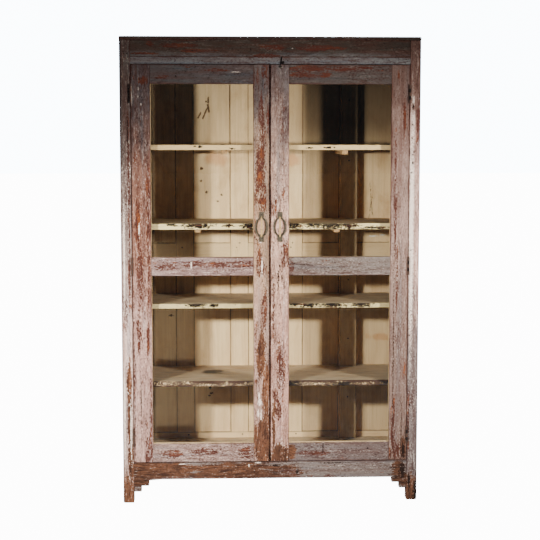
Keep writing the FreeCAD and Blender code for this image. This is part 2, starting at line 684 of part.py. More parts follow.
def case_wood(floor):
    """Everything of the case that posts and rails are cut for."""
    case = {side: hinge_set(side, "case") for side in SIDES}
    plates = {side: case[side][0] for side in SIDES}
    keep(group("case_leaves", case["left"][1] + case["right"][1]), "hinge_case_leaves")
    keep(group("case_screws", case["left"][2] + case["right"][2]), "hinge_case_screws")
    frieze_bar, head_bar, head = front_rails()
    apron_bar = apron(floor)
    back_bars, back_grooves = back_frame(back_panels())
    panels, tiers = [], {}
    blanks = post_blanks()
    for side in SIDES:
        rails, bars = side_rails(side)
        grooves = side_panels(side)
        panels += grooves
        for tier, rail in rails.items():
            tiers.setdefault(tier, []).append(cut(f"side_{tier}_{side}", rail, grooves))
        front = [frieze_bar, head_bar, apron_bar] + bars + grooves + plates[side] + case[side][2]
        keep(cut(f"front_{side}_cut", blanks[f"front_post_{side}"], front), f"front_post_{side}")
        rear = back_bars + [back_grooves] + bars + grooves
        keep(cut(f"rear_{side}_cut", blanks[f"rear_post_{side}"], rear), f"rear_post_{side}")
    keep(group("side_boards", panels), "side_panels")
    for tier, pair in tiers.items():
        keep(group(f"{tier}_side_pair", pair), f"side_rails_{tier}")
    return head


def stile_widths(side):
    """Widths of a door's outer and meeting stiles."""
    return f"Sizes.{side}_outer_stile", f"Sizes.{side}_meeting_stile"


def glass_openings():
    """Low and high edge of a door's two glazed openings."""
    mid_top = "(Sizes.mid_rail_bottom + Sizes.mid_rail_height)"
    return {
        "upper": (mid_top, f"({DOOR_TOP} - Sizes.top_rail_height)"),
        "lower": (f"({DOOR_LOW} + Sizes.bottom_rail_height)", "Sizes.mid_rail_bottom"),
    }


def rebate_room(name, side, low, high):
    """The rebate behind one opening: where its pane and beads seat."""
    outer, meeting = stile_widths(side)
    bite = "Sizes.rebate_width"
    inside = f"({MEETING[side]} + {meeting})"
    width = f"({DOOR_OUT} - {outer} - {inside})"
    at = (low_x(side, f"({inside} - {bite})", f"({width} + 2 * {bite})"),
          f"({FRONT} + Sizes.rebate_lip)", f"({low} - {bite})")
    size = (f"({width} + 2 * {bite})", "(Sizes.door_thick - Sizes.rebate_lip)",
            f"({high} - {low} + 2 * {bite})")
    return box(name, at, size), at, size


def pane(name, at, size):
    """One pane of glass, a little smaller than its rebate."""
    gap = "Sizes.glass_edge_gap"
    low = (f"({at[0]} + {gap})", at[1], f"({at[2]} + {gap})")
    extent = (f"({size[0]} - 2 * {gap})", "Sizes.glass_thick", f"({size[2]} - 2 * {gap})")
    return box(name, low, extent)


def bead_frame(name, at, size):
    """Four beads that hold a pane from behind, the uprights full height."""
    wide, y = "Sizes.rebate_width", f"({at[1]} + Sizes.glass_thick)"
    depth = f"({size[1]} - Sizes.glass_thick)"
    far_x, far_z = f"({at[0]} + {size[0]} - {wide})", f"({at[2]} + {size[2]} - {wide})"
    level = (f"({size[0]} - 2 * {wide})", depth, wide)
    return [
        box(f"{name}_a", (at[0], y, at[2]), (wide, depth, size[2])),
        box(f"{name}_b", (far_x, y, at[2]), (wide, depth, size[2])),
        box(f"{name}_c", (f"({at[0]} + {wide})", y, at[2]), level),
        box(f"{name}_d", (f"({at[0]} + {wide})", y, far_z), level),
    ]


def door_rails(side, room):
    """Three rails of a door less what seats in them, and their tenon bars."""
    outer, meeting = stile_widths(side)
    inside = f"({MEETING[side]} + {meeting})"
    length = f"({DOOR_OUT} - {outer} - {inside})"
    tiers = {
        "top": (f"({DOOR_TOP} - Sizes.top_rail_height)", "Sizes.top_rail_height"),
        "mid": ("Sizes.mid_rail_bottom", "Sizes.mid_rail_height"),
        "bottom": (DOOR_LOW, "Sizes.bottom_rail_height"),
    }
    rails, bars = {}, []
    for tier, (low, height) in tiers.items():
        at = (low_x(side, inside, length), FRONT, low)
        size = (length, "Sizes.door_thick", height)
        name = f"{side}_{tier}"
        bar = tenon_bar(f"{name}_tenons", at, size, "x", "y")
        whole = fuse(f"{name}_whole", [box(f"{name}_blank", at, size), bar])
        rails[tier] = cut(f"{name}_cut", whole, room)
        bars.append(bar)
    return rails, bars


def pull_x(side):
    """X of a pull's middle, which is the middle of its stile."""
    return at_x(side, f"({MEETING[side]} + Sizes.{side}_meeting_stile / 2)")


def nail(name, x, face, z):
    """A round-headed nail driven back from a face in front of the door."""
    shank_length = f"(Sizes.nail_length + {FRONT} - {face})"
    head = primitive("Sphere", f"{name}_head", (x, face, z), TO_FRONT, Radius="Sizes.nail_head_radius",
                     Angle1="0", Angle2="90")
    shank = primitive("Cylinder", f"{name}_shank", (x, face, z), TO_BACK,
                      Radius="Sizes.nail_radius", Height=shank_length)
    return fuse(name, [head, shank])


def oval(name, x, width, height):
    """An upright oval disc on the door's face, as thick as the pull's plate."""
    ring = doc.addObject("Part::Ellipse", f"{name}_curve")
    ring.setExpression("MajorRadius", f"({height}) / 2")
    ring.setExpression("MinorRadius", f"({width}) / 2")
    # The long axis is first turned upright, and the curve's plane is square to Y
    ring.Placement = FreeCAD.Placement(FreeCAD.Vector(), FreeCAD.Rotation(Z_WAY, X_WAY, Y_WAY, "XYZ"))
    for axis, where in zip("xyz", (x, FRONT, "Sizes.pull_height")):
        ring.setExpression(f"Placement.Base.{axis}", where)
    disc = doc.addObject("Part::Extrusion", name)
    disc.Base = ring
    disc.DirMode = "Custom"
    disc.Dir = -Y_WAY
    disc.Solid = True
    disc.setExpression("LengthFwd", "Sizes.pull_plate_thick")
    return disc


def pull_plate(side):
    """A flat open oval with a lug at each end."""
    x, bar = pull_x(side), "Sizes.pull_ring_bar"
    width, height = "Sizes.pull_ring_width", "Sizes.pull_ring_height"
    outside = oval(f"{side}_oval", x, width, height)
    inside = oval(f"{side}_oval_hole", x, f"{width} - 2 * {bar}", f"{height} - 2 * {bar}")
    lug = f"((Sizes.pull_length - {height}) / 2 + Sizes.pull_lug_overlap)"
    lug_x = f"({x} - Sizes.pull_lug_width / 2)"
    lug_y = f"({FRONT} - Sizes.pull_plate_thick)"
    half = "Sizes.pull_length / 2"
    lug_size = ("Sizes.pull_lug_width", "Sizes.pull_plate_thick", lug)
    lugs = [
        box(f"{side}_lug_low", (lug_x, lug_y, f"(Sizes.pull_height - {half})"), lug_size),
        box(f"{side}_lug_high", (lug_x, lug_y, f"(Sizes.pull_height + {half} - {lug})"), lug_size),
    ]
    return fuse(f"{side}_plate", [cut(f"{side}_oval_ring", outside, [inside])] + lugs)


def pull_bow(side):
    """An arched grip with a flat foot at each end."""
    body, planes = new_body(f"{side}_bow")
    foot, flat, thick = "Sizes.bow_foot", "Sizes.bow_foot_thick", "Sizes.bow_thick"
    reach = "(Sizes.pull_reach - Sizes.pull_plate_thick)"
    span = f"(2 * Sizes.nail_offset + {foot})"
    # Measured from the crown's plane back to the plate, and up from the lower foot's end
    back = reach
    lift = f"({reach} - {flat})"
    outer_chord, inner_chord = f"({span} - 2 * {foot})", f"({span} - 2 * {foot} - 2 * {thick})"
    corners = [
        (lift, "0"), (back, "0"), (back, f"({foot} + {thick})"), (back, f"({span} - {foot} - {thick})"),
        (back, span), (lift, span), (lift, f"({span} - {foot})"), (lift, foot),
    ]
    arcs = {2: (inner_chord, f"-({reach} - {thick})"), 6: (outer_chord, f"{lift}")}
    arch = outline(body, planes["YZ_Plane"], f"{side}_bow_arch", corners, arcs)
    bar = pad(body, arch, f"{side}_bow_raise", "Sizes.bow_width")
    soften(body, bar, f"{side}_bow_soften", "Sizes.bow_soften",
           lambda point, edge: "Circle" in edge.Curve.TypeId)
    x = f"({pull_x(side)} - Sizes.bow_width / 2)"
    return put(body, (x, f"({FRONT} - Sizes.pull_reach)", f"(Sizes.pull_height - {span} / 2)"))


def pull(side):
    """Plate, bow and the nails through both."""
    face = f"({FRONT} - Sizes.pull_plate_thick - Sizes.bow_foot_thick)"
    nails = [nail(f"{side}_nail_{number}", pull_x(side), face,
                  f"(Sizes.pull_height + {share} * Sizes.nail_offset)")
             for number, share in enumerate(NAIL_SHARES, start=1)]
    keep(cut(f"{side}_plate_holed", pull_plate(side), nails), f"{side}_pull_plate")
    keep(cut(f"{side}_bow_holed", pull_bow(side), nails), f"{side}_pull_bow")
    return nails


HOOK_X = f"({MEETING['right']} + Sizes.hook_inset)"
HOOK_Z = f"({DOOR_TOP} - Sizes.hook_drop)"
HOOK_Y = f"({FRONT} - Sizes.hook_stand - Sizes.hook_wire_radius)"
LEAN_SIN, LEAN_COS = "sin(Sizes.hook_lean_angle)", "cos(Sizes.hook_lean_angle)"
# The shaft leaves the ring on its left side
SHAFT_X = f"({HOOK_X} - Sizes.hook_ring_radius * {LEAN_COS})"
SHAFT_Z = f"({HOOK_Z} + Sizes.hook_ring_radius * {LEAN_SIN})"


def latch_nail():
    """The nail that the hook turns on."""
    face = f"({HOOK_Y} - Sizes.hook_wire_radius - Sizes.hook_gap)"
    return nail("latch_nail", HOOK_X, face, HOOK_Z)


def bind(sketch, kind, *reference, to):
    """Add a constraint whose value follows an expression."""
    index = sketch.addConstraint(Sketcher.Constraint(kind, *reference, value_of(to)))
    sketch.setExpression(f"Constraints[{index}]", to)


def hook_line(body, plane):
    """The wire's middle line, down its shaft from the tip and round its eye."""
    sketch = body.newObject("Sketcher::SketchObject", "hook_line")
    sketch.AttachmentSupport = [(plane, "")]
    sketch.MapMode = "FlatFace"
    shaft, radius = value_of("Sizes.hook_shaft"), value_of("Sizes.hook_ring_radius")
    low, centre = FreeCAD.Vector(0, -shaft, 0), FreeCAD.Vector(radius, -shaft, 0)
    straight(sketch, FreeCAD.Vector(), low)
    whole = Part.Circle(centre, Z_WAY, radius)
    turn = math.radians(value_of("Sizes.hook_eye_angle"))
    sketch.addGeometry(Part.ArcOfCircle(whole, math.pi, math.pi + turn), False)
    sketch.addConstraint(Sketcher.Constraint("Coincident", 0, 1, -1, 1))
    sketch.addConstraint(Sketcher.Constraint("Vertical", 0))
    sketch.addConstraint(Sketcher.Constraint("Tangent", 0, 2, 1, 1))
    bind(sketch, "Distance", 0, to="Sizes.hook_shaft")
    bind(sketch, "Radius", 1, to="Sizes.hook_ring_radius")
    bind(sketch, "Angle", 1, to="Sizes.hook_eye_angle")
    return sketch


def latch_hook():
    """A wire hook: an eye round its nail and a straight shaft that leans on the stud."""
    body, planes = new_body("hook")
    section = body.newObject("Sketcher::SketchObject", "hook_section")
    section.AttachmentSupport = [(planes["XY_Plane"], "")]
    section.MapMode = "FlatFace"
    wire = value_of("Sizes.hook_wire_radius")
    section.addGeometry(Part.Circle(FreeCAD.Vector(), Z_WAY, wire), False)
    section.addConstraint(Sketcher.Constraint("Coincident", 0, 3, -1, 1))
    bind(section, "Radius", 0, to="Sizes.hook_wire_radius")
    line = hook_line(body, planes["XZ_Plane"])
    doc.recompute()
    pipe = body.newObject("PartDesign::AdditivePipe", "hook_wire")
    pipe.Profile = section
    pipe.Spine = (line, ["Edge1", "Edge2"])
    doc.recompute()
    length = value_of("Sizes.hook_shaft")
    soften(body, pipe, "hook_end", "Sizes.hook_soften",
           lambda point, edge: edge.Length < length and near(point.z, 0))
    tip = (f"({SHAFT_X} + Sizes.hook_shaft * {LEAN_SIN})", HOOK_Y,
           f"({SHAFT_Z} + Sizes.hook_shaft * {LEAN_COS})")
    lean = FreeCAD.Rotation(Y_WAY, value_of("Sizes.hook_lean_angle"))
    keep(put(body, tip, lean), "latch_hook")


def latch_stud():
    """The stud in the head rail that stops the hook, with a hollow in its middle."""
    away = "(Sizes.stud_radius + Sizes.hook_wire_radius + Sizes.hook_gap)"
    x = f"({SHAFT_X} + Sizes.stud_rise * {LEAN_SIN} + {away} * {LEAN_COS})"
    z = f"({SHAFT_Z} + Sizes.stud_rise * {LEAN_COS} - {away} * {LEAN_SIN})"
    disc = primitive("Cylinder", "stud_disc", (x, FRONT, z), TO_FRONT,
                     Radius="Sizes.stud_radius", Height="Sizes.stud_height")
    shank = primitive("Cylinder", "stud_shank", (x, FRONT, z), TO_BACK,
                      Radius="Sizes.stud_shank_radius", Height="Sizes.stud_shank_length")
    eye = primitive("Cylinder", "stud_eye", (x, f"({FRONT} - Sizes.stud_height + Sizes.stud_eye_depth)", z),
                    TO_FRONT, Radius="Sizes.stud_eye_radius", Height="Sizes.stud_eye_depth")
    return keep(cut("stud", fuse("stud_solid", [disc, shank]), [eye]), "latch_stud")


def door(side):
    """A framed door with two panes, its hinge leaves and its pull."""
    outer, meeting = stile_widths(side)
    rooms, beads = [], []
    for tier, (low, high) in glass_openings().items():
        room, at, size = rebate_room(f"{side}_{tier}_rebate", side, low, high)
        rooms.append(room)
        keep(pane(f"{side}_{tier}_glass", at, size), f"{side}_door_{tier}_pane")
        beads += bead_frame(f"{side}_{tier}_bead", at, size)
    keep(group(f"{side}_beads", beads), f"{side}_door_glazing_beads")
    plates, leaves, screws = hinge_set(side, "door")
    keep(group(f"{side}_door_leaves", leaves), f"{side}_hinge_door_leaves")
    keep(group(f"{side}_door_screws", screws), f"{side}_hinge_door_screws")
    # The hook's nail belongs to the right door
    nails = pull(side) + ([latch_nail()] if side == "right" else [])
    keep(group(f"{side}_nails", nails), f"{side}_door_nails")
    rails, bars = door_rails(side, rooms + nails)
    for tier, rail in rails.items():
        keep(rail, f"{side}_door_{tier}_rail")
    outer_at = (low_x(side, f"({DOOR_OUT} - {outer})", outer), FRONT, DOOR_LOW)
    outer_blank = box(f"{side}_outer_blank", outer_at, (outer, "Sizes.door_thick", DOOR_HEIGHT))
    keep(cut(f"{side}_outer", outer_blank, bars + rooms + plates + screws), f"{side}_door_outer_stile")
    meeting_at = (low_x(side, MEETING[side], meeting), FRONT, DOOR_LOW)
    meeting_blank = box(f"{side}_meeting_blank", meeting_at, (meeting, "Sizes.door_thick", DOOR_HEIGHT))
    keep(cut(f"{side}_meeting", meeting_blank, bars + rooms + nails), f"{side}_door_meeting_stile")


def case():
    """Every sub-part that stands still."""
    top_board()
    floor = floor_board()
    head = case_wood(floor)
    keep(cut("head", head, [latch_stud()]), "head_rail")
    keep(group("brackets", [bracket(side) for side in SIDES]), "apron_brackets")
    centre_post()
    shelf_batten()
    shelves(room_round_uprights())
    shelf_supports()
    hinge_pins()


def check():
    """Stop on any object that failed and on any sub-part that is empty or not valid."""
    doc.recompute()
    for item in doc.Objects:
        if "Invalid" in item.State or "Error" in item.State:
            raise RuntimeError(f"{item.Label} failed: {item.State}")
    for piece in sub_parts:
        if piece.Shape.isNull() or not piece.Shape.Solids or not piece.Shape.isValid():
            raise RuntimeError(f"{piece.Label} has no valid solid")


def write():
    """Write each sub-part to its own file."""
    os.makedirs("parts", exist_ok=True)
    for piece in sub_parts:
        piece.Shape.exportStep(f"parts/{piece.Label}.step")
    print(len(sub_parts), "sub-parts,", sum(len(piece.Shape.Solids) for piece in sub_parts), "solids")


fill_sheet()
case()
for door_side in SIDES:
    door(door_side)
latch_hook()
check()
write()
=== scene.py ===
"""Looks of an old painted cabinet with two glazed doors, built round its packed frame."""

import json
import math
import random

import bmesh
import bpy
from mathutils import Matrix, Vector, noise

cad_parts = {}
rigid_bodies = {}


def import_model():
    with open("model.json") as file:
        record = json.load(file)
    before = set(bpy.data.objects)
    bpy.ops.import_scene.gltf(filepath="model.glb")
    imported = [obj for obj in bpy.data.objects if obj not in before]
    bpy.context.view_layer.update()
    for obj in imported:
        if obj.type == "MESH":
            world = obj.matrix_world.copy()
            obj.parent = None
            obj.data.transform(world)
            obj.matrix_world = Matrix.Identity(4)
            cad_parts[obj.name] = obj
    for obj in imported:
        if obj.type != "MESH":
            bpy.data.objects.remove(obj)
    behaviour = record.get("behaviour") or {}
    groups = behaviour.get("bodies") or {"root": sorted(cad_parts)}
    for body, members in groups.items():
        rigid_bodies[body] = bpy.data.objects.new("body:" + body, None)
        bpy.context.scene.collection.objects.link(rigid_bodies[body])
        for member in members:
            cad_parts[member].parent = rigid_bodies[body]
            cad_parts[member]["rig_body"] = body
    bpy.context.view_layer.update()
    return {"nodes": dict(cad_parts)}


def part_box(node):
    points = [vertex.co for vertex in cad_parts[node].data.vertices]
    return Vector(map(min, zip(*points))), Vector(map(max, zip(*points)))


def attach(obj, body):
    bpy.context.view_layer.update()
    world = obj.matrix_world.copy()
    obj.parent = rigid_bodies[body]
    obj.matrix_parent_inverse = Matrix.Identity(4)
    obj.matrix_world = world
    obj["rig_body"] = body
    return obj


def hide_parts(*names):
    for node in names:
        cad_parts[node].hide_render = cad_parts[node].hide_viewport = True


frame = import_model()

bl_info = {
    "name": "Glazed cabinet",
    "version": (1, 0, 0),
    "blender": (4, 5, 0),
    "location": "View3D > Sidebar > Cabinet",
    "description": "Old painted cabinet with two glazed doors, four shelves and a plain pale stage",
    "category": "Object",
}

BODY_OF = {name: piece["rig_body"] for name, piece in frame["nodes"].items()}
SIDES = ("left", "right")
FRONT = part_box("left_door_top_rail")[0].y
PULL_HEIGHT = sum(corner.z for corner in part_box("left_pull_bow")) / 2
SHELF_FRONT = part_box("shelf_2")[0].y
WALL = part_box("back_panels")[0].y
# Half height of the painted highlight along a pull's grip, half depth of a mark on the paint, and how far in
# from its edges a board is worn, in metres.
GRIP_HIGHLIGHT_HALF = 0.034
MARK_DEPTH = 0.03
EDGE_ZONE = 0.004
# Heights in metres between which the outer paint turns from its low to its middle and its top tone, and
# between which it turns darker towards the top.
TONE_LEVELS = (0.55, 1.1, 1.72)
TOP_DARKENING_LEVELS = (1.25, 1.72)
# Places of the nails in the rails of the back: X of each column, and heights above each rail's lower edge.
NAIL_COLUMNS = (-0.357, -0.119, 0.119, 0.357)
NAIL_RISES = {"top": (0.024,), "mid": (0.018, 0.070), "bottom": (0.090,)}
# Millimetres in a metre, for the tables of marks.
MM = 1000
# Share of the background's brightness that the floor shows to the camera.
FLOOR_GLOW = 0.94
# Camera that fits the photo: where it stands, and how far it looks down and turns to the right in degrees.
CAMERA_PLACE = (-0.2353, -5.472, 1.4718)
CAMERA_DOWN = 5.537
CAMERA_RIGHT = 2.524


def rgb(red, green, blue):
    """Screen colour from 0 to 255 as the linear colour that sockets take."""
    def linear(value):
        value /= 255
        return value / 12.92 if value <= 0.04045 else ((value + 0.055) / 1.055) ** 2.4
    return linear(red), linear(green), linear(blue), 1.0


def colour(name, description, screen):
    return bpy.props.FloatVectorProperty(name=name, description=description, default=rgb(*screen),
                                         size=4, min=0, max=1, subtype="COLOR")


def length(name, description, metres):
    return bpy.props.FloatProperty(name=name, description=description, default=metres, min=0,
                                   subtype="DISTANCE", unit="LENGTH")


def amount(name, description, value, high=1.0):
    return bpy.props.FloatProperty(name=name, description=description, default=value, min=0, max=high)


# Settings


class CABINET_PG_stage(bpy.types.PropertyGroup):
    """Floor, background, camera and lamps"""

    floor_colour: colour("Floor", "Colour of the plain floor", (242, 242, 242))
    backdrop: amount("Background", "Brightness of the background that the camera sees", 14.0, 40)
    ambient: amount("Ambient", "Brightness of the light that comes from all round", 0.09, 5)
    main_power: amount("Main lamp", "Power of the lamp at the front left, in watts", 540, 5000)
    second_power: amount("Second lamp", "Power of the lamp at the front right, in watts", 665, 5000)
    low_power: amount("Low lamp", "Power of the weak lamp near the floor, in watts", 70, 5000)
    rear_power: amount("Rear lamps", "Power of each large lamp behind and beside, in watts", 60, 5000)
    top_power: amount("Top lamp", "Power of the large lamp overhead, in watts", 55, 5000)
    lens: bpy.props.FloatProperty(name="Lens", description="Focal length in millimetres", default=86.77)


class CABINET_PG_paint(bpy.types.PropertyGroup):
    """Colours of the paint and the wood under it"""

    white: colour("Old white", "Older white coat that shows in chips", (240, 222, 208))
    maroon: colour("Red undercoat", "Red-brown coat under the outer paint", (78, 46, 39))
    bare: colour("Bare wood", "Brown wood where the paint is gone", (127, 84, 60))
    dark: colour("Dirt", "Dark dirt in cracks and holes", (36, 25, 21))
    cream: colour("Inner paint", "Cream paint inside the cabinet", (248, 212, 164))
    cream_dark: colour("Stained cream", "Where the inner paint has turned brown", (184, 142, 96))
    shelf_top: colour("Shelf top", "Dirty tops of the shelves", (208, 182, 150))
    bearer: colour("Bearer wood", "Tan wood of the bearers under the shelves", (204, 166, 120))


class CABINET_PG_wood(bpy.types.PropertyGroup):
    """Sizes of the wear on the boards"""

    ease: length("Rounding", "Rounding of every worn edge", 0.0012)
    erosion: length("Erosion", "How far an edge is worn back at most", 0.0009)
    slice_along: length("Slices along", "Distance between the cuts along a board", 0.03)
    slice_across: length("Slices across", "Distance between the cuts across a board", 0.025)
    seed: bpy.props.IntProperty(name="Seed", description="Seed of the wear", default=11, min=0)


class CABINET_PG_metal(bpy.types.PropertyGroup):
    """Colours of the fittings"""

    iron: colour("Iron", "Dark old iron", (78, 66, 60))
    iron_dark: colour("Black iron", "Blackened iron of the hook and the right hinges", (38, 32, 30))
    rust: colour("Rust", "Rust on the iron", (104, 66, 46))
    brass: colour("Pulls", "Grey-yellow metal of the pulls", (104, 96, 81))
    # The grips' colour is a painted highlight, bright along their middle.
    grip: colour("Grips", "Rubbed metal of the pulls' grips", (214, 178, 118))
    brass_dark: colour("Tarnish", "Dark film on the pulls", (58, 51, 42))
    brad_pitch: length("Brad pitch", "Distance between the brads of the glazing beads", 0.11)
    nail_radius: length("Nail head", "Radius of the nail heads in the case", 0.003)
    steel: colour("Screws", "Grey steel of the screws", (120, 112, 104))


SETTINGS = {
    "cabinet_stage": CABINET_PG_stage, "cabinet_paint": CABINET_PG_paint,
    "cabinet_wood": CABINET_PG_wood, "cabinet_metal": CABINET_PG_metal,
}


def settings(name):
    return getattr(bpy.context.scene, "cabinet_" + name)


# Node trees


class Sheet:
    """Writes nodes into one tree. A value is a socket, a number or a colour."""

    def __init__(self, tree):
        self.tree = tree

    def feed(self, socket, value):
        if isinstance(value, bpy.types.NodeSocket):
            self.tree.links.new(value, socket)
        elif value is not None:
            socket.default_value = value

    def fill(self, sockets, values):
        for name, value in values.items():
            self.feed(sockets[name], value)

    def add(self, kind, values=None, **facts):
        """New node with its facts, and with values for its inputs by name or number."""
        made = self.tree.nodes.new(kind)
        for name, value in facts.items():
            setattr(made, name, value)
        self.fill(made.inputs, values or {})
        return made

    def math(self, operation, *values, clamp=False):
        made = self.add("ShaderNodeMath", dict(enumerate(values)), operation=operation, use_clamp=clamp)
        return made.outputs[0]

    def times(self, first, second):
        return self.math("MULTIPLY", first, second)

    def part(self, vector, axis):
        return self.add("ShaderNodeSeparateXYZ", {0: vector}).outputs[axis]

    def vector(self, operation, *values, **named):
        made = self.add("ShaderNodeVectorMath", {**dict(enumerate(values)), **named}, operation=operation)
        return made.outputs["Value" if operation in ("LENGTH", "DISTANCE", "DOT_PRODUCT") else "Vector"]

    def noise(self, vector, scale, detail, rough, twist=0.0):
        place = self.add("ShaderNodeMapping", {"Vector": vector, "Scale": scale}).outputs[0]
        made = self.add("ShaderNodeTexNoise", {"Vector": place, "Scale": 1.0, "Detail": detail,
                                               "Roughness": rough, "Distortion": twist})
        return made.outputs["Fac"]

    def ramp(self, value, low, high, to_low=0.0, to_high=1.0, smooth=True):
        made = self.add("ShaderNodeMapRange", {"Value": value, "From Min": low, "From Max": high,
                                               "To Min": to_low, "To Max": to_high},
                        interpolation_type="SMOOTHSTEP" if smooth else "LINEAR")
        return made.outputs[0]

    def mix(self, share, first, second, blend="MIX"):
        made = self.add("ShaderNodeMix", {0: share, 6: first, 7: second}, data_type="RGBA", blend_type=blend)
        return made.outputs[2]

    def tint(self, tone, other, value, low, high, most=1.0):
        """The tone, turned to the other one where the value goes from low to high."""
        return self.mix(self.ramp(value, low, high, 0.0, most), tone, other)

    def use(self, group, **values):
        """Outputs of a shared node group, which is made where it is first used."""
        tree = bpy.data.node_groups.get(group) or GROUP_MAKERS[group]()
        return self.add("ShaderNodeGroup", values, node_tree=tree).outputs


def new_group(name, inputs, outputs):
    """Empty shader node group with named sockets, and the sheet to write in it."""
    group = bpy.data.node_groups.new(name, "ShaderNodeTree")
    for label, kind, value in inputs:
        socket = group.interface.new_socket(label, in_out="INPUT", socket_type="NodeSocket" + kind)
        if value is not None:
            socket.default_value = value
    for label, kind in outputs:
        group.interface.new_socket(label, in_out="OUTPUT", socket_type="NodeSocket" + kind)
    sheet = Sheet(group)
    entry, exit_node = sheet.add("NodeGroupInput"), sheet.add("NodeGroupOutput")
    return group, sheet, entry.outputs, exit_node.inputs


def board_group():
    """Places on a board: along its grain, shifted for each piece, and the distance to its edge."""
    group, sheet, _, out = new_group(
        "Board", [], [("Grain", "Vector"), ("Position", "Vector"), ("Edge", "Float"), ("Height", "Float"),
                      ("Piece", "Float")])
    grain, half = (sheet.add("ShaderNodeAttribute", attribute_name=name).outputs["Vector"]
                   for name in ("grain", "half"))
    piece = sheet.add("ShaderNodeAttribute", attribute_name="piece").outputs["Fac"]
    place = sheet.add("ShaderNodeTexCoord").outputs["Object"]
    near = sheet.vector("SUBTRACT", half, sheet.vector("ABSOLUTE", grain))
    a, b, c = (sheet.part(near, axis) for axis in "XYZ")
    low, high = sheet.math("MINIMUM", a, b), sheet.math("MAXIMUM", a, b)
    sheet.fill(out, {
        "Grain": sheet.vector("ADD", grain, sheet.vector("SCALE", (7.3, 3.1, 5.7), Scale=piece)),
        "Edge": sheet.math("MAXIMUM", low, sheet.math("MINIMUM", high, c)),
        "Position": place, "Height": sheet.part(place, "Z"), "Piece": piece})
    return group


def patch_group():
    """Ragged patch at a named place: 1 inside, 0 outside."""
    group, sheet, given, out = new_group(
        "Patch", [("Position", "Vector", None), ("Noise", "Float", 0.5), ("Centre", "Vector", (0, 0, 0)),
                  ("Half", "Vector", (1, 1, 1)), ("Ragged", "Float", 1.5), ("Soft", "Float", 0.12)],
        [("Mask", "Float")])
    away = sheet.vector("DIVIDE", sheet.vector("SUBTRACT", given["Position"], given["Centre"]), given["Half"])
    inside = sheet.math("SUBTRACT", 1.1, sheet.vector("LENGTH", away))
    spread = sheet.ramp(given["Noise"], 0.3, 0.7, -0.5, 0.5, smooth=False)
    rough = sheet.times(spread, given["Ragged"])
    sheet.feed(out["Mask"], sheet.ramp(sheet.math("ADD", inside, rough), 0.0, given["Soft"]))
    return group


def crack_group():
    """Thin line between two named places, wandering a little."""
    group, sheet, given, out = new_group(
        "Crack", [("Position", "Vector", None), ("Noise", "Float", 0.5), ("Start", "Vector", (0, 0, 0)),
                  ("Run", "Vector", (1, 0, 0)), ("Width", "Float", 0.001)],
        [("Mask", "Float")])
    off = sheet.vector("SUBTRACT", given["Position"], given["Start"])
    share = sheet.math("DIVIDE", sheet.vector("DOT_PRODUCT", off, given["Run"]),
                       sheet.vector("DOT_PRODUCT", given["Run"], given["Run"]), clamp=True)
    gap = sheet.vector("DISTANCE", off, sheet.vector("SCALE", given["Run"], Scale=share))
    wander = sheet.times(sheet.math("SUBTRACT", given["Noise"], 0.5), 0.012)
    gap = sheet.math("ABSOLUTE", sheet.math("ADD", gap, wander))
    sheet.feed(out["Mask"], sheet.ramp(gap, sheet.times(given["Width"], 0.4), given["Width"], 1.0, 0.0))
    return group


def wear_group():
    """Paint worn off along the edges of a board: 1 at the edge, 0 away from it."""
    group, sheet, given, out = new_group(
        "Edge wear", [("Edge", "Float", 1.0), ("Noise", "Float", 0.5), ("Width", "Float", 0.006)],
        [("Mask", "Float")])
    reach = sheet.times(given["Width"], sheet.ramp(given["Noise"], 0.3, 0.75, 0.05, 1.6))
    sheet.feed(out["Mask"], sheet.ramp(given["Edge"], sheet.times(reach, 0.45), reach, 1.0, 0.0))
    return group


def flake_group():
    """Flaked places with crisp rims, long along the grain: 1 where the coat is gone."""
    group, sheet, given, out = new_group(
        "Flaking", [("Grain", "Vector", None), ("Amount", "Float", 0.5), ("Crisp", "Float", 0.05)],
        [("Mask", "Float"), ("Speck", "Float"), ("Streak", "Float"), ("Blotch", "Float")])
    streak = sheet.noise(given["Grain"], (10, 60, 60), 6, 0.65, 0.6)
    blotch = sheet.noise(given["Grain"], (7, 18, 18), 4, 0.6, 0.4)
    speck = sheet.noise(given["Grain"], (120, 250, 250), 3, 0.7)
    value = sheet.math("ADD", sheet.times(streak, 0.42), sheet.times(blotch, 0.33))
    value = sheet.math("ADD", value, sheet.times(speck, 0.25))
    limit = sheet.math("SUBTRACT", 0.72, sheet.times(given["Amount"], 0.44))
    sheet.fill(out, {"Mask": sheet.ramp(value, limit, sheet.math("ADD", limit, given["Crisp"])),
                     "Speck": speck, "Streak": streak, "Blotch": blotch})
    return group


GROUP_MAKERS = {"Board": board_group, "Patch": patch_group, "Crack": crack_group, "Edge wear": wear_group,
                "Flaking": flake_group}


def new_material(name):
    """Empty material with its sheet, its Principled shader and its output."""
    made = bpy.data.materials.new(name)
    made.use_nodes = True
    made.node_tree.nodes.clear()
    sheet = Sheet(made.node_tree)
    shader = sheet.add("ShaderNodeBsdfPrincipled")
    target = sheet.add("ShaderNodeOutputMaterial")
    sheet.feed(target.inputs["Surface"], shader.outputs[0])
    return made, sheet, shader.inputs, target.inputs


def bumped(sheet, shader, height, depth, strength=0.6):
    made = sheet.add("ShaderNodeBump", {"Height": height, "Distance": depth, "Strength": strength})
    sheet.feed(shader["Normal"], made.outputs[0])


def blended(sheet, target, share, other):
    """Mixes another shader into the surface of a material."""
    own = target["Surface"].links[0].from_socket
    made = sheet.add("ShaderNodeMixShader", {0: share, 1: own, 2: other.outputs[0]})
    sheet.feed(target["Surface"], made.outputs[0])


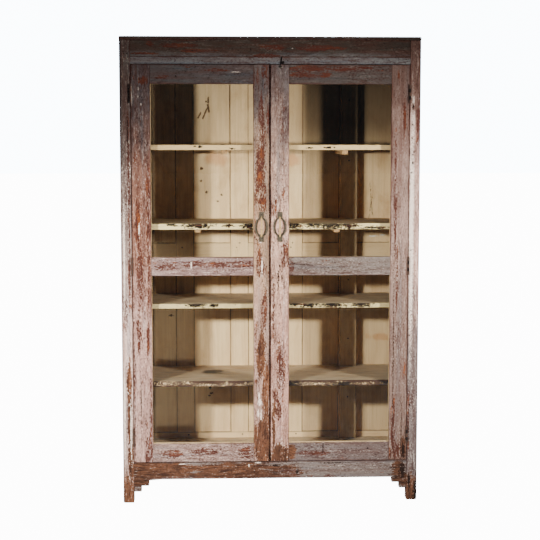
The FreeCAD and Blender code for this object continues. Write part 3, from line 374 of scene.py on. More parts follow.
def seen_straight(sheet):
    """1 for what the camera sees directly or through a pane, 0 for what only lights or mirrors."""
    path = sheet.add("ShaderNodeLightPath").outputs
    turned = sheet.math("SUBTRACT", path["Ray Depth"], path["Transmission Depth"])
    through = sheet.times(path["Is Transmission Ray"], sheet.math("LESS_THAN", turned, 0.5))
    return sheet.math("MAXIMUM", path["Is Camera Ray"], through)


def marks_mask(sheet, marks, kind, position, rough, plane, **facts):
    """One mask for all the marks of a kind on a plane of constant Y, or None."""
    mask = None
    for mark in (marks or {}).get(kind, ()):
        x, z, *size = (value / MM for value in mark)
        if len(size) == 2:
            wide, tall = size
            made = sheet.use("Patch", Position=position, Noise=rough, Centre=(x, plane, z),
                             Half=(wide, MARK_DEPTH, tall), **facts)["Mask"]
        else:
            run_x, run_z, width = size
            made = sheet.use("Crack", Position=position, Noise=rough, Start=(x, plane, z),
                             Run=(run_x, 0, run_z), Width=width)["Mask"]
        mask = sheet.math("MAXIMUM", mask, made) if mask else made
    return mask


def facing(sheet, axis, low, high):
    """1 where the surface faces along an axis, from the low to the high share."""
    return sheet.ramp(sheet.part(sheet.add("ShaderNodeNewGeometry").outputs["Normal"], axis), low, high)


def more(sheet, mask, extra):
    """The higher of two masks, where the second may be missing."""
    return sheet.math("MAXIMUM", mask, extra) if extra else mask


def board_material(name, amount):
    """Empty material for boards with its sheet and shader, the places on a board and its flaking."""
    made, sheet, shader, _ = new_material(name)
    board = sheet.use("Board")
    return made, sheet, shader, board, sheet.use("Flaking", Grain=board["Grain"], Amount=amount)


def worn_paint(name, tones, marks=None, red=0.4, white=0.5, levels=TONE_LEVELS, calm=0.4, deep=0.0,
               ledge=False, dust_and_top_light=False, inside=False):
    """Lilac grey paint over a red-brown coat, streaked along the grain and worn to bare wood.

    The tones are screen colours for the low, middle and top part of the cabinet. Red is the amount of flaking
    down to the red-brown coat, white the strength of the white flecks, calm how much grit is left in the
    quiet places, and deep how dark the bare wood is low down. A ledge shows cream paint on top. A board with
    dust_and_top_light is lighter on its upward faces, as dust and as painted light from above. What is inside
    turns dark brown on the faces that look into the cabinet, as bare wood and as painted shade."""
    paint = settings("paint")
    made, sheet, shader, board, flakes = board_material(name, red)
    grain, position = board["Grain"], board["Position"]
    speck, streak, blotch = flakes["Speck"], flakes["Streak"], flakes["Blotch"]
    comb = sheet.noise(grain, (20, 130, 130), 5, 0.65, 0.4)
    fine = sheet.noise(grain, (40, 420, 420), 3, 0.6)
    drift = sheet.noise(grain, (5, 20, 20), 3, 0.6)
    torn = sheet.math("ADD", sheet.times(comb, 0.55), sheet.times(speck, 0.45))
    sway = (levels[2] - levels[1]) * 0.2
    height = sheet.math("ADD", board["Height"], sheet.ramp(blotch, 0.3, 0.7, -sway, sway))
    low, mid, top = (rgb(*tone) for tone in tones)
    tone = sheet.tint(low, mid, height, *levels[:2])
    tone = sheet.tint(tone, top, height, *levels[1:])
    # Darker towards the top of the cabinet, between the given heights.
    top_darkening = sheet.ramp(height, TOP_DARKENING_LEVELS[0], min(levels[2], TOP_DARKENING_LEVELS[1]))

    brown = sheet.mix(0.75, tone, paint.maroon)
    light = sheet.mix(0.6, tone, paint.white)
    bands = sheet.noise(grain, (1.4, 46, 46), 3, 0.5)
    grey = sheet.mix(1.0, tone, rgb(226, 236, 246), "MULTIPLY")
    shade = sheet.tint(tone, grey, bands, 0.54, 0.64)
    shade = sheet.tint(shade, brown, bands, 0.46, 0.34, 0.5)
    shade = sheet.tint(shade, brown, drift, 0.42, 0.66, 0.45)
    busy = sheet.ramp(sheet.noise(grain, (4, 15, 15), 4, 0.6), 0.42, 0.58, calm, 1.0)
    grit = sheet.times(busy, sheet.ramp(torn, 0.5, 0.57, 0.0, 0.85))
    shade = sheet.mix(grit, shade, sheet.mix(0.5, brown, paint.dark))
    shade = sheet.mix(sheet.times(busy, sheet.ramp(fine, 0.5, 0.66, 0.0, 0.6)), shade, brown)
    pale = sheet.times(sheet.ramp(torn, 0.47, 0.38), sheet.ramp(top_darkening, 0, 1, white, white * 0.4))
    shade = sheet.mix(sheet.times(busy, pale), shade, light)

    def placed(kind, rough, **facts):
        return marks_mask(sheet, marks, kind, position, rough, FRONT, **facts)

    held = sheet.ramp(torn, 0.40, 0.52, 0.1, 1.0)
    ragged = sheet.math("ADD", sheet.times(streak, 0.6), sheet.times(speck, 0.4))
    gone = more(sheet, flakes["Mask"], placed("red", ragged, Soft=0.3, Ragged=2.0))
    gone = sheet.times(gone, held)
    rim = sheet.use("Edge wear", Edge=board["Edge"], Noise=blotch, Width=0.005)["Mask"]
    gone = sheet.math("MAXIMUM", gone, sheet.times(rim, 0.6))
    under = sheet.tint(paint.maroon, rgb(134, 76, 48), streak, 0.56, 0.68)
    under = sheet.mix(sheet.times(top_darkening, 0.6), under, rgb(80, 41, 32))
    bright = placed("orange", ragged, Soft=0.3, Ragged=2.0)
    if bright:
        gone = sheet.math("MAXIMUM", gone, bright)
        orange = sheet.mix(top_darkening, rgb(130, 74, 42), rgb(96, 48, 32))
        orange = sheet.tint(orange, paint.maroon, torn, 0.4, 0.55)
        under = sheet.mix(bright, under, orange)
    under = sheet.tint(under, paint.dark, fine, 0.45, 0.7, 0.5)
    shade = sheet.mix(gone, shade, under)

    wood = sheet.tint(paint.bare, rgb(88, 58, 44), comb, 0.36, 0.66)
    wood = sheet.tint(wood, rgb(66, 44, 36), drift, 0.4, 0.62, 0.5)
    wood = sheet.tint(wood, paint.dark, torn, 0.48, 0.58, 0.6)
    wood = sheet.mix(sheet.ramp(top_darkening, 0, 1, deep, 0.5), wood, paint.dark)
    stripped = placed("bare", ragged, Soft=0.3, Ragged=1.5)
    lost = gone
    if stripped:
        stripped = sheet.times(stripped, sheet.ramp(torn, 0.36, 0.43, 0.3, 1.0))
        shade = sheet.mix(stripped, shade, wood)
        lost = sheet.math("MAXIMUM", gone, stripped)
    flecks = sheet.times(sheet.ramp(speck, 0.36, 0.31), sheet.ramp(top_darkening, 0, 1, white, white * 0.3))
    flecks = sheet.times(flecks, sheet.ramp(lost, 0, 1, 1.0, 0.3))
    flecks = more(sheet, flecks, placed("white", speck, Ragged=2.0))
    shade = sheet.mix(flecks, shade, sheet.mix(sheet.times(top_darkening, 0.6), paint.white, tone))
    pits = sheet.times(sheet.ramp(speck, 0.585, 0.64), sheet.ramp(blotch, 0.4, 0.6, 0.45, 1.0))
    pits = more(sheet, pits, placed("dark", speck, Ragged=2.0))
    # Dirt and painted shade: every board turns darker within about two millimetres of its edges, which
    # darkens the joints and gaps.
    edge_dirt_and_shade = sheet.ramp(board["Edge"], 0.0005, 0.0022, 0.55, 0.0)
    shade = sheet.mix(sheet.math("MAXIMUM", pits, edge_dirt_and_shade), shade, paint.dark)
    if ledge:
        upward = sheet.times(facing(sheet, "Z", 0.5, 0.8), sheet.ramp(torn, 0.6, 0.5))
        shade = sheet.mix(upward, shade, paint.cream)
    # Dust and painted light: upward faces are lightened.
    if dust_and_top_light:
        upward = sheet.times(facing(sheet, "Z", 0.5, 0.8), sheet.ramp(blotch, 0.3, 0.7, 0.9, 0.45))
        shade = sheet.mix(upward, shade, rgb(178, 160, 142))
    if inside:
        # Faces that look into the cabinet turn dark brown: bare wood, and painted shade on the inner side
        # walls.
        turned = sheet.vector("MULTIPLY", position, sheet.add("ShaderNodeNewGeometry").outputs["Normal"])
        inward = sheet.ramp(sheet.part(turned, "X"), -0.2, -0.4)
        inner_brown_and_shade = sheet.tint(rgb(104, 80, 62), rgb(72, 54, 43), comb, 0.4, 0.65)
        shade = sheet.mix(inward, shade, inner_brown_and_shade)
    sheet.fill(shader, {"Base Color": shade, "Roughness": sheet.ramp(lost, 0, 1, 0.6, 0.78, smooth=False),
                        "Specular IOR Level": 0.3})
    relief = sheet.math("SUBTRACT", sheet.times(torn, 0.6), sheet.times(lost, 0.35))
    bumped(sheet, shader, sheet.math("SUBTRACT", relief, sheet.times(pits, 0.5)), 0.0014)
    return made


def inner_paint(name, marks=None, hidden_rim=0.0, brown=0.3, plane=0.0):
    """Cream paint that lets the grain and the knots show, with dirt and painted shade along the edge of each
    board, painted shade near the top right and at the far left. What faces the rear is unpainted wood."""
    paint = settings("paint")
    made, sheet, shader, board, flakes = board_material(name, 0.1)
    grain, position = board["Grain"], board["Position"]
    speck, streak, blotch = flakes["Speck"], flakes["Streak"], flakes["Blotch"]
    fine = sheet.noise(grain, (6, 170, 170), 4, 0.6)
    rings = sheet.noise(grain, (1.5, 62, 62), 2, 0.4, 0.3)
    tone = sheet.tint(paint.cream, paint.cream_dark, blotch, 0.38, 0.75, brown)
    tone = sheet.tint(tone, paint.cream_dark, fine, 0.45, 0.75, 0.3)
    tone = sheet.tint(tone, paint.cream_dark, rings, 0.42, 0.62, 0.16)
    stains = sheet.noise(position, (9, 9, 6), 5, 0.65, 0.5)
    tone = sheet.tint(tone, rgb(196, 152, 104), stains, 0.5, 0.68, 0.4)
    own = sheet.add("ShaderNodeTexWhiteNoise", {"W": board["Piece"]}, noise_dimensions="1D").outputs["Value"]
    tone = sheet.mix(sheet.times(own, 0.3), tone, rgb(190, 160, 122))
    across = sheet.part(position, "X")
    # Painted shade: the last two centimetres at the far left of the inside are darkened.
    tone = sheet.tint(tone, rgb(84, 62, 46), across, -0.485, -0.5, 0.9)
    # Painted shade: the inside near the top right is turned dark brown where the lamps light it less.
    top_darkening = sheet.times(sheet.ramp(board["Height"], 1.32, 1.58), sheet.ramp(across, 0.06, 0.22, 0.3, 1.0))
    tone = sheet.mix(sheet.times(top_darkening, 0.85), tone, rgb(94, 70, 50))
    # Dirt and painted shade: each board turns dark along its visible edge, where it meets the next one.
    rim = sheet.math("SUBTRACT", board["Edge"], hidden_rim)
    line = sheet.ramp(rim, 0.0004, sheet.ramp(streak, 0.3, 0.7, 0.0015, 0.005), 0.75, 0.0)
    tone = sheet.mix(line, tone, rgb(84, 56, 36))
    for kind, rough, shade, share, facts in (
            ("stain", blotch, rgb(196, 124, 70), 0.45, {"Soft": 0.6, "Ragged": 0.9}),
            ("dark", speck, rgb(66, 42, 26), 0.9, {}), ("white", speck, rgb(250, 240, 224), 0.9, {})):
        mask = marks_mask(sheet, marks, kind, position, rough, plane, **facts)
        if mask:
            tone = sheet.mix(sheet.times(mask, share), tone, shade)
    dots = sheet.times(sheet.ramp(speck, 0.68, 0.74), 0.6)
    raw = sheet.tint(rgb(164, 132, 102), rgb(116, 88, 66), fine, 0.35, 0.65)
    raw = sheet.tint(raw, rgb(104, 84, 70), blotch, 0.35, 0.75, 0.45)
    raw = sheet.mix(sheet.times(own, 0.4), raw, rgb(120, 92, 66))
    raw = sheet.mix(line, raw, rgb(52, 38, 30))
    tone = sheet.mix(facing(sheet, "Y", 0.3, 0.6), tone, raw)
    tone = sheet.mix(dots, tone, paint.dark)
    sheet.fill(shader, {"Base Color": tone, "Roughness": sheet.ramp(fine, 0.3, 0.7, 0.55, 0.72),
                        "Specular IOR Level": 0.3})
    bumped(sheet, shader, sheet.math("SUBTRACT", sheet.times(fine, 0.3), dots), 0.0008)
    return made


def shelf_paint(name, edge_tone, marks=None, worn=0.3, brown=0.0, spot=None):
    """Dirty shelf top with a chipped cream front edge."""
    paint = settings("paint")
    made, sheet, shader, board, flakes = board_material(name, 0.45)
    grain, position = board["Grain"], board["Position"]
    speck, streak, blotch = flakes["Speck"], flakes["Streak"], flakes["Blotch"]
    fine = sheet.noise(grain, (7, 150, 150), 4, 0.6)
    chips = sheet.noise(position, (85, 110, 170), 5, 0.65)
    top = sheet.tint(paint.shelf_top, paint.cream_dark, blotch, 0.35, 0.7, 0.45)
    top = sheet.tint(top, rgb(118, 96, 78), fine, 0.4, 0.7, 0.45)
    top = sheet.tint(top, rgb(96, 76, 62), sheet.noise(position, (14, 30, 30), 4, 0.65), 0.48, 0.66, 0.3)
    if spot:
        stain = sheet.use("Patch", Position=position, Noise=blotch, Centre=spot, Half=(0.06, 0.05, 0.03),
                          Ragged=0.8, Soft=0.5)["Mask"]
        top = sheet.mix(sheet.times(stain, 0.9), top, rgb(52, 44, 40))
    edge = sheet.tint(rgb(*edge_tone), paint.cream_dark, fine, 0.42, 0.75, 0.25)
    edge = sheet.tint(edge, rgb(72, 50, 40), blotch, 0.25, 0.42, brown)
    gone = sheet.ramp(chips, 0.70 - 0.3 * worn, 0.72 - 0.3 * worn)
    bits = sheet.noise(position, (190, 120, 230), 4, 0.65)
    lost = marks_mask(sheet, marks, "dark", position, chips, SHELF_FRONT, Ragged=2.4, Soft=0.08)
    if lost:
        gone = sheet.math("MAXIMUM", gone, sheet.times(lost, sheet.ramp(bits, 0.33, 0.38)))
    edge = sheet.mix(gone, edge, sheet.tint(rgb(30, 22, 19), rgb(90, 52, 40), streak, 0.54, 0.64))
    kept = marks_mask(sheet, marks, "white", position, chips, SHELF_FRONT, Ragged=3.2, Soft=0.08)
    if kept:
        edge = sheet.mix(sheet.times(kept, sheet.ramp(bits, 0.51, 0.56)), edge, rgb(*edge_tone))
    front = facing(sheet, "Y", -0.3, -0.7)
    below = facing(sheet, "Z", -0.3, -0.7)
    shade = sheet.mix(front, sheet.mix(below, top, rgb(74, 60, 50)), edge)
    dots = sheet.times(sheet.ramp(speck, 0.63, 0.7), 0.6)
    sheet.fill(shader, {"Base Color": sheet.mix(dots, shade, paint.dark), "Roughness": 0.7,
                        "Specular IOR Level": 0.3})
    bumped(sheet, shader, sheet.math("SUBTRACT", sheet.times(fine, 0.3), sheet.times(gone, 0.5)), 0.001)
    return made


def plain_wood(name, first, second):
    """Unpainted wood with a fine straight grain."""
    made, sheet, shader, _ = new_material(name)
    board = sheet.use("Board")
    fine = sheet.noise(board["Grain"], (9, 260, 260), 5, 0.6)
    wide = sheet.noise(board["Grain"], (4, 40, 40), 3, 0.5, 0.8)
    shade = sheet.tint(first, second, fine, 0.35, 0.7)
    shade = sheet.tint(shade, settings("paint").dark, wide, 0.4, 0.7, 0.4)
    sheet.fill(shader, {"Base Color": shade, "Roughness": 0.7})
    bumped(sheet, shader, fine, 0.0006)
    return made


def old_metal(name, bright, dull, share, rough, metallic, highlight_band=None):
    """Metal with a mottled dark film and small pits.
    The highlight band gives the middle height and the half height of a band painted bright as a highlight;
    away from it the metal turns dull."""
    made, sheet, shader, _ = new_material(name)
    place = sheet.add("ShaderNodeTexCoord").outputs["Object"]
    film = sheet.noise(place, (180, 180, 180), 5, 0.65, 0.4)
    pits = sheet.noise(place, (900, 900, 900), 3, 0.6)
    shade = sheet.tint(bright, dull, film, 0.7 - 0.5 * share, 0.9 - 0.5 * share)
    if highlight_band:
        middle, half = highlight_band
        away = sheet.math("ABSOLUTE", sheet.math("SUBTRACT", sheet.part(place, "Z"), middle))
        shade = sheet.tint(shade, dull, away, half, half * 1.3)
    sheet.fill(shader, {"Base Color": shade,
                        "Roughness": sheet.ramp(film, 0.3, 0.7, rough - 0.12, rough + 0.2),
                        "Metallic": sheet.ramp(film, 0.35, 0.65, metallic, metallic * 0.6)})
    bumped(sheet, shader, sheet.math("ADD", film, sheet.times(pits, 0.5)), 0.0004, 0.5)
    return made


def old_glass():
    """Thin clear panes that let the lamps through, with a little dust."""
    made, sheet, shader, target = new_material("old_window_glass")
    place = sheet.add("ShaderNodeTexCoord").outputs["Object"]
    dust = sheet.noise(place, (30, 30, 6), 5, 0.7)
    sheet.fill(shader, {"Base Color": (0.93, 0.955, 0.94, 1), "Transmission Weight": 1.0, "IOR": 1.45,
                        "Roughness": sheet.ramp(dust, 0.55, 0.9, 0.0, 0.05)})
    bumped(sheet, shader, sheet.noise(place, (9, 9, 5), 2, 0.4), 0.0004, 0.15)
    path = sheet.add("ShaderNodeLightPath").outputs
    through = sheet.math("MAXIMUM", path["Is Shadow Ray"], path["Is Diffuse Ray"])
    blended(sheet, target, through, sheet.add("ShaderNodeBsdfTransparent", {"Color": (0.93, 0.95, 0.94, 1)}))
    return made


# Wooden pieces


def islands(mesh):
    """Groups of vertices that hang together, in the order of their lowest corners."""
    left = set(mesh.verts)
    found = []
    while left:
        start = left.pop()
        group, todo = [start], [start]
        while todo:
            for edge in todo.pop().link_edges:
                for vert in edge.verts:
                    if vert in left:
                        left.remove(vert)
                        group.append(vert)
                        todo.append(vert)
        found.append(group)
    return sorted(found, key=lambda group: [round(min(v.co[axis] for v in group), 5) for axis in range(3)])


def copied_solid(node):
    """The node's triangles, merged into one closed mesh with flat faces."""
    data = frame["nodes"][node].data
    plain = bpy.data.meshes.new("raw")
    faces = [list(face.vertices) for face in data.polygons]
    plain.from_pydata([vert.co for vert in data.vertices], [], faces)
    mesh = bmesh.new()
    mesh.from_mesh(plain)
    bpy.data.meshes.remove(plain)
    bmesh.ops.remove_doubles(mesh, verts=mesh.verts, dist=1e-5)
    bmesh.ops.dissolve_limit(mesh, angle_limit=math.radians(1), verts=mesh.verts, edges=mesh.edges)
    return mesh


def cut_at(mesh, axis, low, high, step):
    """Cuts the mesh across an axis every step, so that its edges can wander."""
    count = int((high - low) / step)
    for index in range(1, count + 1):
        place, normal = [0, 0, 0], [0, 0, 0]
        place[axis], normal[axis] = low + (high - low) * index / (count + 1), 1
        geometry = mesh.verts[:] + mesh.edges[:] + mesh.faces[:]
        bmesh.ops.bisect_plane(mesh, geom=geometry, dist=1e-6, plane_co=place, plane_no=normal)


def put_in(mesh, name, body, material, smooth=False):
    """Object from a finished mesh, riding on its body."""
    data = bpy.data.meshes.new(name)
    mesh.to_mesh(data)
    mesh.free()
    data.materials.append(material)
    made = bpy.data.objects.new(name, data)
    bpy.context.scene.collection.objects.link(made)
    if smooth:
        data.shade_smooth()
    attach(made, body)
    return made


def worn_board(node, material, step=None, wave=1.0):
    """Wooden piece with rounded, unevenly worn edges and its grain kept as attributes."""
    wood = settings("wood")
    rng = random.Random(f"{node}{wood.seed}")
    mesh = copied_solid(node)
    sharp = [edge for edge in mesh.edges if len(edge.link_faces) == 2
             and edge.calc_face_angle(0) > math.radians(25) and edge.is_convex]
    bmesh.ops.bevel(mesh, geom=sharp, offset=wood.ease, offset_type="OFFSET", segments=2, profile=0.5,
                    affect="EDGES", clamp_overlap=True)
    low = Vector(min(v.co[axis] for v in mesh.verts) for axis in range(3))
    high = Vector(max(v.co[axis] for v in mesh.verts) for axis in range(3))
    span = high - low
    longest = max(range(3), key=lambda axis: span[axis])
    for axis in range(3):
        if span[axis] > 2 * wood.slice_across:
            cut_at(mesh, axis, low[axis], high[axis],
                   (step or wood.slice_along) if axis == longest else wood.slice_across * 2)
    grain = mesh.verts.layers.float_vector.new("grain")
    half = mesh.verts.layers.float_vector.new("half")
    seed = mesh.verts.layers.float.new("piece")
    mesh.normal_update()
    for group in islands(mesh):
        low = Vector(min(v.co[axis] for v in group) for axis in range(3))
        high = Vector(max(v.co[axis] for v in group) for axis in range(3))
        order = sorted(range(3), key=lambda axis: low[axis] - high[axis])
        centre, size, own = (low + high) / 2, (high - low) / 2, rng.random()
        for vert in group:
            off = vert.co - centre
            vert[grain] = Vector(off[axis] for axis in order)
            vert[half] = Vector(size[axis] for axis in order)
            vert[seed] = own
            near = sorted(size[axis] - abs(off[axis]) for axis in range(3))[1]
            if near < EDGE_ZONE:
                wander = noise.noise(vert.co * 38 + Vector((own * 9, 0, 0))) * 0.5 + 0.5
                wander = wander ** 2 + 0.25 * (noise.noise(vert.co * 150) * 0.5 + 0.5)
                vert.co -= vert.normal * wood.erosion * wave * wander * (1 - near / EDGE_ZONE)
    made = put_in(mesh, f"worn_{node}", BODY_OF[node], material)
    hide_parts(node)
    return made


# Nail heads


def nail_tree():
    """Geometry nodes that put a low round head on every point of a mesh, turned to where the point faces."""
    tree = bpy.data.node_groups.new("Nail heads", "GeometryNodeTree")
    for label, kind in (("Geometry", "Geometry"), ("Radius", "Float"), ("Flatness", "Float"), ("Seed", "Int"),
                        ("Material", "Material")):
        tree.interface.new_socket(label, in_out="INPUT", socket_type="NodeSocket" + kind)
    tree.interface.new_socket("Geometry", in_out="OUTPUT", socket_type="NodeSocketGeometry")
    sheet = Sheet(tree)
    given, out = sheet.add("NodeGroupInput").outputs, sheet.add("NodeGroupOutput").inputs
    head = sheet.add("GeometryNodeMeshUVSphere", {"Segments": 12, "Rings": 6, "Radius": given["Radius"]})
    outward = sheet.add("GeometryNodeInputNamedAttribute", {"Name": "facing"}, data_type="FLOAT_VECTOR")
    turn = sheet.add("FunctionNodeAlignRotationToVector", {"Vector": outward.outputs["Attribute"]}, axis="Z")
    uneven = sheet.add("FunctionNodeRandomValue", {2: 0.8, 3: 1.15, "Seed": given["Seed"]}, data_type="FLOAT")
    flat = sheet.add("ShaderNodeCombineXYZ", {"X": 1, "Y": 1, "Z": given["Flatness"]})
    size = sheet.vector("SCALE", flat.outputs[0], Scale=uneven.outputs[1])
    placed = sheet.add("GeometryNodeInstanceOnPoints", {
        "Points": given["Geometry"], "Instance": head.outputs["Mesh"], "Rotation": turn.outputs[0],
        "Scale": size})
    real = sheet.add("GeometryNodeRealizeInstances", {0: placed.outputs[0]})
    painted = sheet.add("GeometryNodeSetMaterial", {"Geometry": real.outputs[0],
                                                    "Material": given["Material"]})
    sheet.feed(out["Geometry"], painted.outputs[0])
    return tree


def nail_heads(name, body, spots, radius, material):
    """One mesh of nail heads for a body. A spot is a place and the direction that it faces."""
    points = bpy.data.meshes.new(name + "_points")
    points.from_pydata([place for place, _ in spots], [], [])
    outward = points.attributes.new("facing", "FLOAT_VECTOR", "POINT")
    for item, (_, way) in zip(outward.data, spots):
        item.vector = way
    made = bpy.data.objects.new(name, points)
    bpy.context.scene.collection.objects.link(made)
    tree = bpy.data.node_groups.get("Nail heads") or nail_tree()
    given = {"Radius": radius, "Flatness": 0.35, "Seed": settings("wood").seed, "Material": material}
    change = made.modifiers.new("nails", "NODES")
    change.node_group = tree
    for item in tree.interface.items_tree:
        if item.in_out == "INPUT" and item.name in given:
            change[item.identifier] = given[item.name]
    result = made.evaluated_get(bpy.context.evaluated_depsgraph_get())
    plain = bpy.data.meshes.new_from_object(result)
    made.modifiers.remove(change)
    made.data = plain
    plain.shade_smooth()
    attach(made, body)


def bead_spots(side):
    """Places of the brads along the beads behind both panes of a door."""
    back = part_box(f"{side}_door_glazing_beads")[1].y
    inset, pitch, spots = 0.003, settings("metal").brad_pitch, []
    for level in ("upper", "lower"):
        low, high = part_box(f"{side}_door_{level}_pane")
        wide, tall = (max(2, round((high[axis] - low[axis]) / pitch)) for axis in (0, 2))
        for index in range(wide):
            x = low.x + (high.x - low.x) * (index + 0.5) / wide
            spots += [(x, back, low.z + inset), (x, back, high.z - inset)]
        for index in range(tall):
            z = low.z + (high.z - low.z) * (index + 0.5) / tall
            spots += [(low.x + inset, back, z), (high.x - inset, back, z)]
    return [(place, (0, 1, 0)) for place in spots]


def case_spots():
    """Places of the nails in the back rails, the batten and the ends of the side rails."""
    spots = []
    for level, rises in NAIL_RISES.items():
        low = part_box(f"back_rail_{level}")[0]
        for x in NAIL_COLUMNS:
            for index, rise in enumerate(rises):
                spots.append(((x + 0.012 * (-1) ** index, low.y, low.z + rise), (0, -1, 0)))
    low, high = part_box("shelf_batten")
    for index in range(6):
        spots.append((((low.x + high.x) / 2, low.y, 0.36 + 0.26 * index), (0, -1, 0)))
    for level in ("top", "mid", "bottom"):
        low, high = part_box(f"side_rails_{level}")
        for way in (-1, 1):
            for y in (low.y + 0.036, high.y - 0.036):
                for rise in (-0.012, 0.012):
                    spots.append(((way * high.x, y, (low.z + high.z) / 2 + rise), (way, 0, 0)))
    return spots


# Operators


class CABINET_OT_stage(bpy.types.Operator):
    """Make the floor, the background, the lamps and the camera"""

    bl_idname = "cabinet.stage"
    bl_label = "Stage"

    def execute(self, context):
        stage = settings("stage")
        scene = context.scene
        floor_material, sheet, shader, target = new_material("pale_floor")
        sheet.fill(shader, {"Base Color": stage.floor_colour, "Roughness": 0.8})
        glow = sheet.add("ShaderNodeEmission", {"Strength": stage.backdrop})
        blended(sheet, target, sheet.times(seen_straight(sheet), FLOOR_GLOW), glow)
        data = bpy.data.meshes.new("floor")
        reach = 60
        data.from_pydata([(-reach, -reach, 0), (reach, -reach, 0), (reach, reach, 0), (-reach, reach, 0)], [],
                         [(0, 1, 2, 3)])
        data.materials.append(floor_material)
        floor = bpy.data.objects.new("floor", data)
        scene.collection.objects.link(floor)

        world = scene.world or bpy.data.worlds.new("studio")
        scene.world = world
        world.use_nodes = True
        world.node_tree.nodes.clear()
        sky = Sheet(world.node_tree)
        strength = sky.ramp(seen_straight(sky), 0, 1, stage.ambient, stage.backdrop, smooth=False)
        light = sky.add("ShaderNodeBackground", {"Color": (0.8, 0.9, 1, 1), "Strength": strength})
        sky.add("ShaderNodeOutputWorld", {"Surface": light.outputs[0]})

        self.lamp("main_lamp", (-1.69, -2.36, 1.405), (0.10, FRONT, 0.63), stage.main_power, 0.07, 50)
        self.lamp("second_lamp", (2.21, -2.51, 1.43), (-0.05, FRONT, 0.98), stage.second_power, 0.08, 46)
        self.lamp("low_lamp", (0.70, -2.31, 0.35), (-0.40, FRONT, 0.45), stage.low_power, 0.06, 40, 0.4)
        for name, place in (("rear_lamp", (1.2, 4.2, 2.0)), ("left_lamp", (-3.6, 2.6, 1.8)),
                            ("right_lamp", (3.8, 2.4, 1.8))):
            self.lamp(name, place, (0, 0.3, 0.95), stage.rear_power, 2.0, None)
        self.lamp("top_lamp", (0, 0.6, 4.4), (0, 0.1, 1.9), stage.top_power, 2.0, None)

        data = bpy.data.cameras.new("camera")
        data.lens, data.sensor_width = stage.lens, 36
        camera = bpy.data.objects.new("camera", data)
        camera.location = CAMERA_PLACE
        camera.rotation_euler = (math.radians(90 - CAMERA_DOWN), 0, -math.radians(CAMERA_RIGHT))
        scene.collection.objects.link(camera)
        scene.camera = camera
        return {"FINISHED"}

    @staticmethod
    def lamp(name, place, aim, power, size, cone, narrow=1.0):
        """Spot lamp with a cone in degrees, or a large square lamp where the cone is None.

        The panes show no hard white disc of a spot lamp."""
        data = bpy.data.lights.new(name, "AREA" if cone is None else "SPOT")
        data.energy = power
        data.color = (1.0, 0.96, 0.9) if cone else (1, 1, 1)
        if cone is None:
            data.shape, data.size = "SQUARE", size
        else:
            data.shadow_soft_size, data.spot_size, data.spot_blend = size, math.radians(cone), 0.8
        made = bpy.data.objects.new(name, data)
        made.location = place
        made.rotation_euler = (Vector(aim) - Vector(place)).to_track_quat("-Z", "Y").to_euler()
        made.scale = narrow, 1, 1
        made.visible_glossy = made.visible_transmission = cone is None
        bpy.context.scene.collection.objects.link(made)


class CABINET_OT_posts(bpy.types.Operator):
    """Make the four corner posts"""

    bl_idname = "cabinet.posts"
    bl_label = "Posts"

    def execute(self, context):
        left = worn_paint("paint_left_post", ((212, 180, 168), (146, 128, 120), (80, 74, 70)),
                          LEFT_POST_MARKS, red=0.38, white=0.8)
        right = worn_paint("paint_right_post", ((115, 103, 100), (220, 182, 168), (106, 82, 74)),
                           RIGHT_POST_MARKS, red=0.35, white=0.7)
        for row in ("front", "rear"):
            worn_board(f"{row}_post_left", left)
            worn_board(f"{row}_post_right", right)
        return {"FINISHED"}


class CABINET_OT_head(bpy.types.Operator):
    """Make the top board, the frieze and the head rail"""

    bl_idname = "cabinet.head"
    bl_label = "Top and frieze"

    def execute(self, context):
        paint = worn_paint("paint_frieze", ((104, 102, 102), (104, 102, 102), (60, 52, 46)), FRIEZE_MARKS,
                           red=0.32, white=0.3, levels=(1.70, 1.80, 1.845), dust_and_top_light=True)
        for node in ("top_board", "frieze_board", "head_rail"):
            worn_board(node, paint)
        return {"FINISHED"}


class CABINET_OT_base(bpy.types.Operator):
    """Make the apron rail and its stepped brackets"""

    bl_idname = "cabinet.base"
    bl_label = "Apron"

    def execute(self, context):
        paint = worn_paint("paint_apron", ((114, 103, 98),) * 3, APRON_MARKS, red=0.36, white=0.5, calm=0.25,
                           deep=0.42)
        for node in ("apron_rail", "apron_brackets"):
            worn_board(node, paint)
        return {"FINISHED"}


class CABINET_OT_side_walls(bpy.types.Operator):
    """Make the rails and panels of both sides, and the post behind the doors"""

    bl_idname = "cabinet.side_walls"
    bl_label = "Side walls"

    def execute(self, context):
        tones = ((170, 142, 132), (158, 134, 124), (128, 108, 100))
        rails = worn_paint("paint_side_rails", tones, red=0.4, inside=True)
        for level in ("top", "mid", "bottom"):
            worn_board(f"side_rails_{level}", rails)
        panels = worn_paint("paint_side_panels", tones, red=0.36, inside=True)
        worn_board("side_panels", panels)
        worn_board("centre_post", worn_paint("paint_centre_post", tones, red=0.5, white=0.2))
        return {"FINISHED"}


class CABINET_OT_back_wall(bpy.types.Operator):
    """Make the rails, muntins, panels and batten of the back"""

    bl_idname = "cabinet.back_wall"
    bl_label = "Back wall"

    def execute(self, context):
        frame_paint = inner_paint("cream_frame", WALL_MARKS, plane=WALL)
        for level in ("top", "mid", "bottom"):
            worn_board(f"back_rail_{level}", frame_paint)
        for node in ("back_muntins", "shelf_batten"):
            worn_board(node, frame_paint)
        panel_paint = inner_paint("cream_panels", WALL_MARKS, hidden_rim=0.008, plane=WALL)
        worn_board("back_panels", panel_paint)
        return {"FINISHED"}


